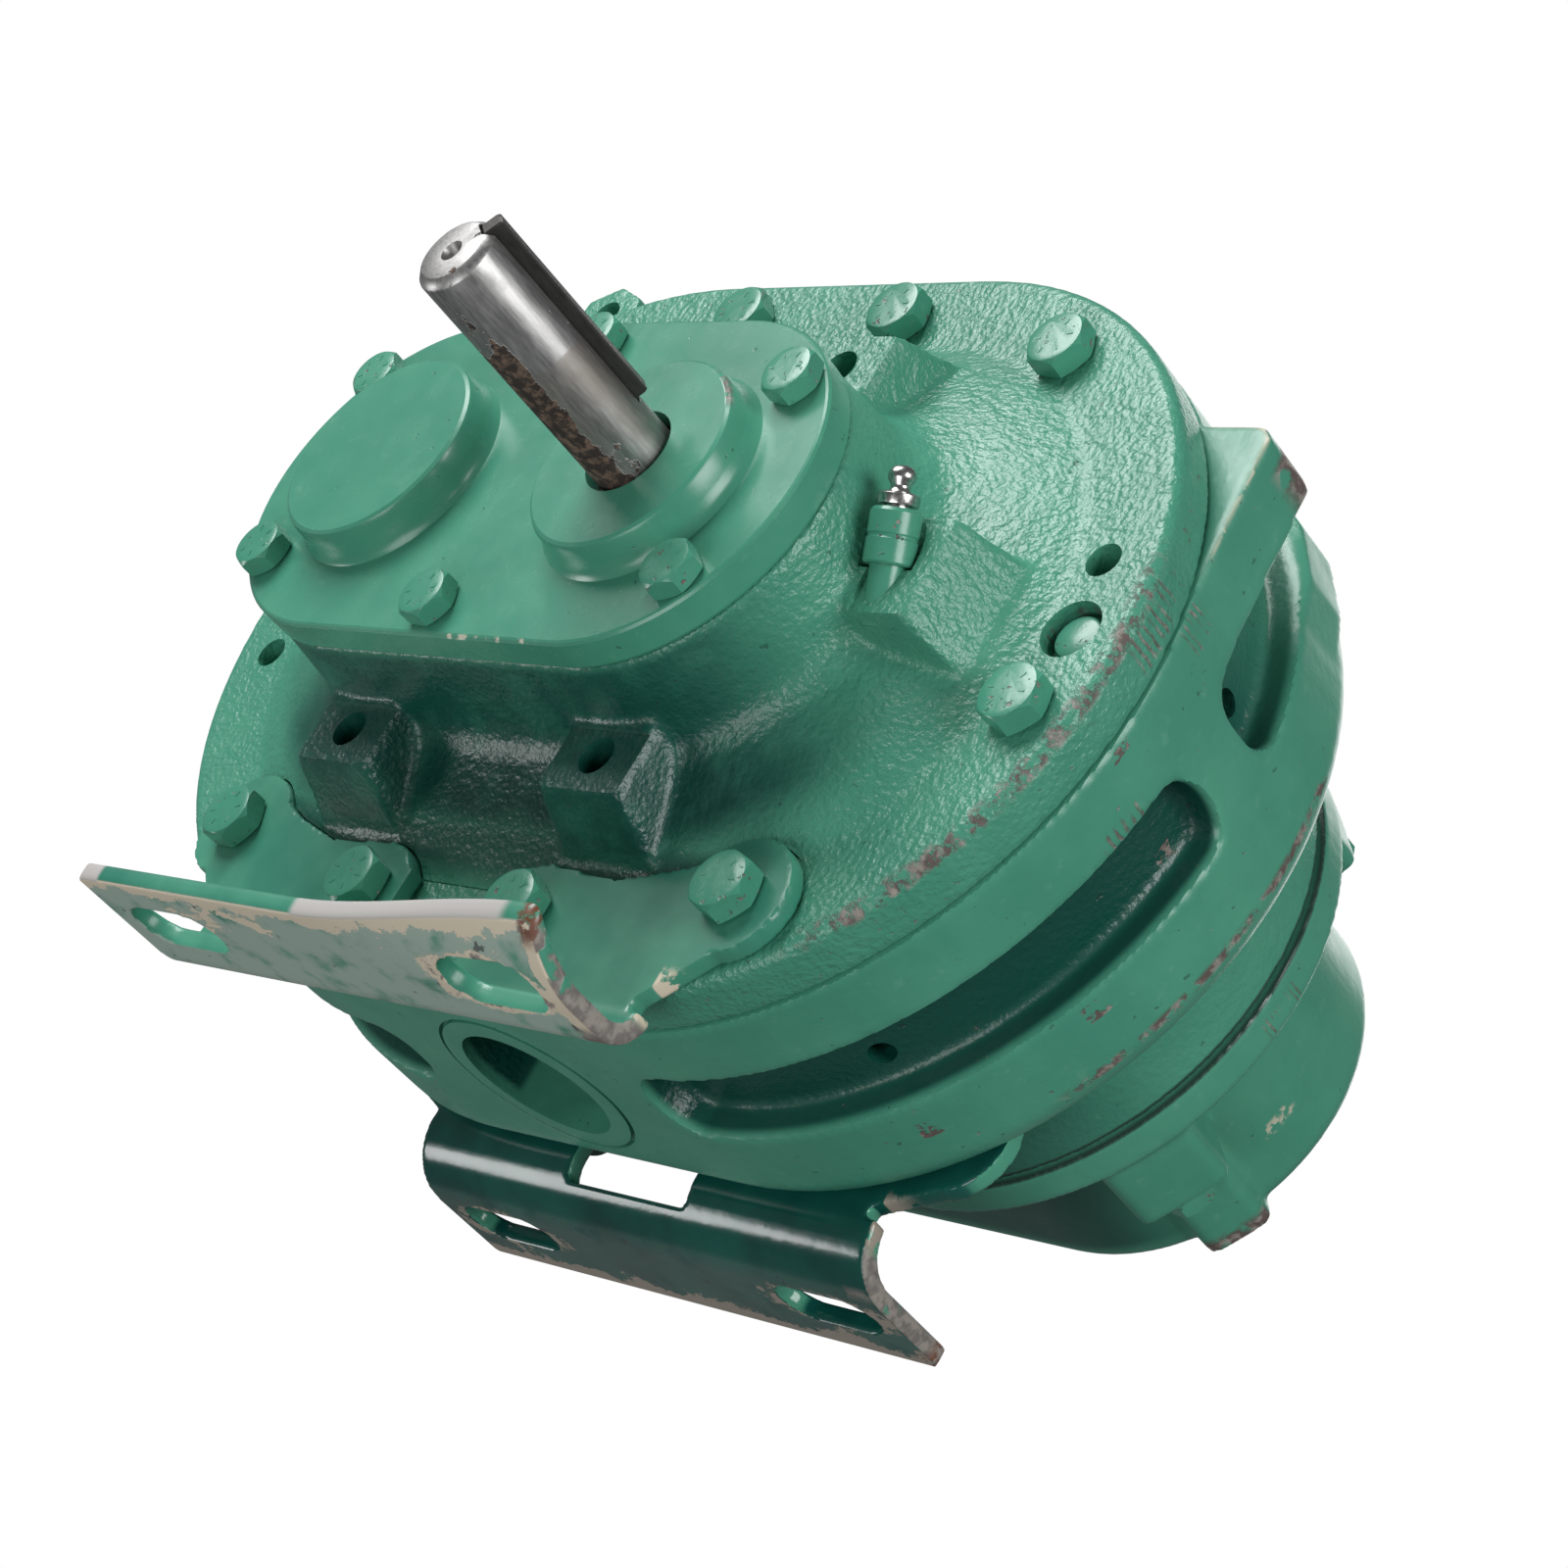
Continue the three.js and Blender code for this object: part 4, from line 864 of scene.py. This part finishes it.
TIP = SHAFT_LOW.y * 1000 - COVER_Y
journal = [(15, 8.8), (15, 31), (17.5, 31.8), (17.5, 153.2), (15, 154), (15, 200), (13.7, 200.6),
           (13.7, 233.2), (12, 233.6), (12, 252), (11, 253), (0, 253)]
shaft_nose = [(0, TIP), (8.8, TIP), (9.3, TIP + 0.2), (10.9, TIP + 1.9), (11.1, TIP + 2.5), (11.1, 8)]
shaft = turned([*shaft_nose, *journal], HALF, 0, 96)
centre_hole = [(3.3, TIP - 1), (3.1, TIP + 0.1), (1.7, TIP + 3.2), (1.5, TIP + 8), (0, TIP + 9)]
shaft = cut(shaft, turned(centre_hole, HALF, 0, 32), key_bar(5.4, 8.4, 18, TIP - 1, -21))
finish_piece(shaft, "drive_shaft_turned", "drive_train", SHAFT_STEEL, ["drive_shaft"])
key = key_bar(4.8, 8.7, 14.3, TIP + 0.4, -22, 0.45)
finish_piece(key, "drive_key_bar", "drive_train", KEY_STEEL, ["drive_key"])

# ---- CAD nodes that stay --------------------------------------------------------------------
for name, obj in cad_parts.items():
    material = None
    if "bearing" in name:
        material = BEARING_STEEL
    elif "timing_gear" in name:
        material = GEAR_STEEL
    elif "rotor" in name:
        material = ROTOR_IRON
    elif "locknut" in name:
        material = NUT_STEEL
    elif "seal" in name:
        material = RUBBER
    elif name == "driven_shaft":
        material = GEAR_STEEL
    if material:
        for slot_ in obj.material_slots:
            slot_.material = material

# ---- floor, light, camera -------------------------------------------------------------------
FLOOR_Z = -0.0006
floor_mesh = bpy.data.meshes.new("floor")
corners = [(x, y, FLOOR_Z) for x, y in ((-4, -4), (4, -4), (4, 4), (-4, 4))]
floor_mesh.from_pydata(corners, [], [(0, 1, 2, 3)])
floor = bpy.data.objects.new("floor", floor_mesh)
scene.collection.objects.link(floor)
pale = bpy.data.materials.new("floor_pale")
pale.use_nodes = True
tree = pale.node_tree
bsdf = tree.nodes["Principled BSDF"]
bsdf.inputs["Base Color"].default_value = (0.50, 0.50, 0.495, 1)
bsdf.inputs["Roughness"].default_value = 0.7
bsdf.inputs["Emission Color"].default_value = (1.0, 1.0, 0.99, 1)
bsdf.inputs["Emission Strength"].default_value = 0.42
clear = tree.nodes.new("ShaderNodeBsdfTransparent")
mix = tree.nodes.new("ShaderNodeMixShader")
side_node = tree.nodes.new("ShaderNodeNewGeometry")
tree.links.new(side_node.outputs["Backfacing"], mix.inputs[0])
tree.links.new(bsdf.outputs[0], mix.inputs[1])
tree.links.new(clear.outputs[0], mix.inputs[2])
tree.links.new(mix.outputs[0], tree.nodes["Material Output"].inputs[0])
floor.data.materials.append(pale)
floor.visible_shadow = False                           # light from below still reaches the soles
floor.visible_diffuse = False
floor.visible_glossy = False

world = bpy.data.worlds.new("studio")
scene.world = world
world.use_nodes = True
wt = world.node_tree
background = wt.nodes["Background"]
seen = wt.nodes.new("ShaderNodeBackground")
path = wt.nodes.new("ShaderNodeLightPath")
wmix = wt.nodes.new("ShaderNodeMixShader")
background.inputs[0].default_value = (0.95, 0.98, 1.0, 1)
background.inputs[1].default_value = 0.13
seen.inputs[0].default_value = (1, 1, 1, 1)
seen.inputs[1].default_value = 1.0
wt.links.new(path.outputs["Is Camera Ray"], wmix.inputs[0])
wt.links.new(background.outputs[0], wmix.inputs[1])
wt.links.new(seen.outputs[0], wmix.inputs[2])
wt.links.new(wmix.outputs[0], wt.nodes["World Output"].inputs[0])


def soft_box(name, direction, distance, size, power):
    """Square area light aimed at the middle of the machine."""
    light = bpy.data.lights.new(name, "AREA")
    light.size, light.energy = size, power
    obj = bpy.data.objects.new(name, light)
    away = Vector(direction).normalized()
    obj.location = Vector((0, 0, 0.13)) + away * distance
    obj.rotation_euler = away.to_track_quat("Z", "Y").to_euler()
    scene.collection.objects.link(obj)


# name, direction from the machine, distance, size, watts
soft_box("key", (-0.34, -0.76, 0.62), 1.7, 1.1, 38)
soft_box("side", (1.0, -0.15, 0.15), 1.6, 0.8, 17)
soft_box("low", (0.30, -0.55, -0.85), 1.8, 1.0, 13)
soft_box("strip", (-0.74, -0.42, -0.52), 1.5, 0.4, 4)
soft_box("back", (-0.5, 1.0, 0.8), 1.9, 1.2, 10)

camera = bpy.data.cameras.new("camera")
camera.lens, camera.sensor_width = 84.98, 36
camera.clip_start, camera.clip_end = 0.05, 20
camera_obj = bpy.data.objects.new("camera", camera)
camera_obj.location = (0.7455, -0.5710, -0.2520)
camera_obj.rotation_euler = Euler([math.radians(a) for a in (114.865, -28.556, 38.652)])
scene.collection.objects.link(camera_obj)
scene.camera = camera_obj
scene.view_settings.view_transform = "Standard"
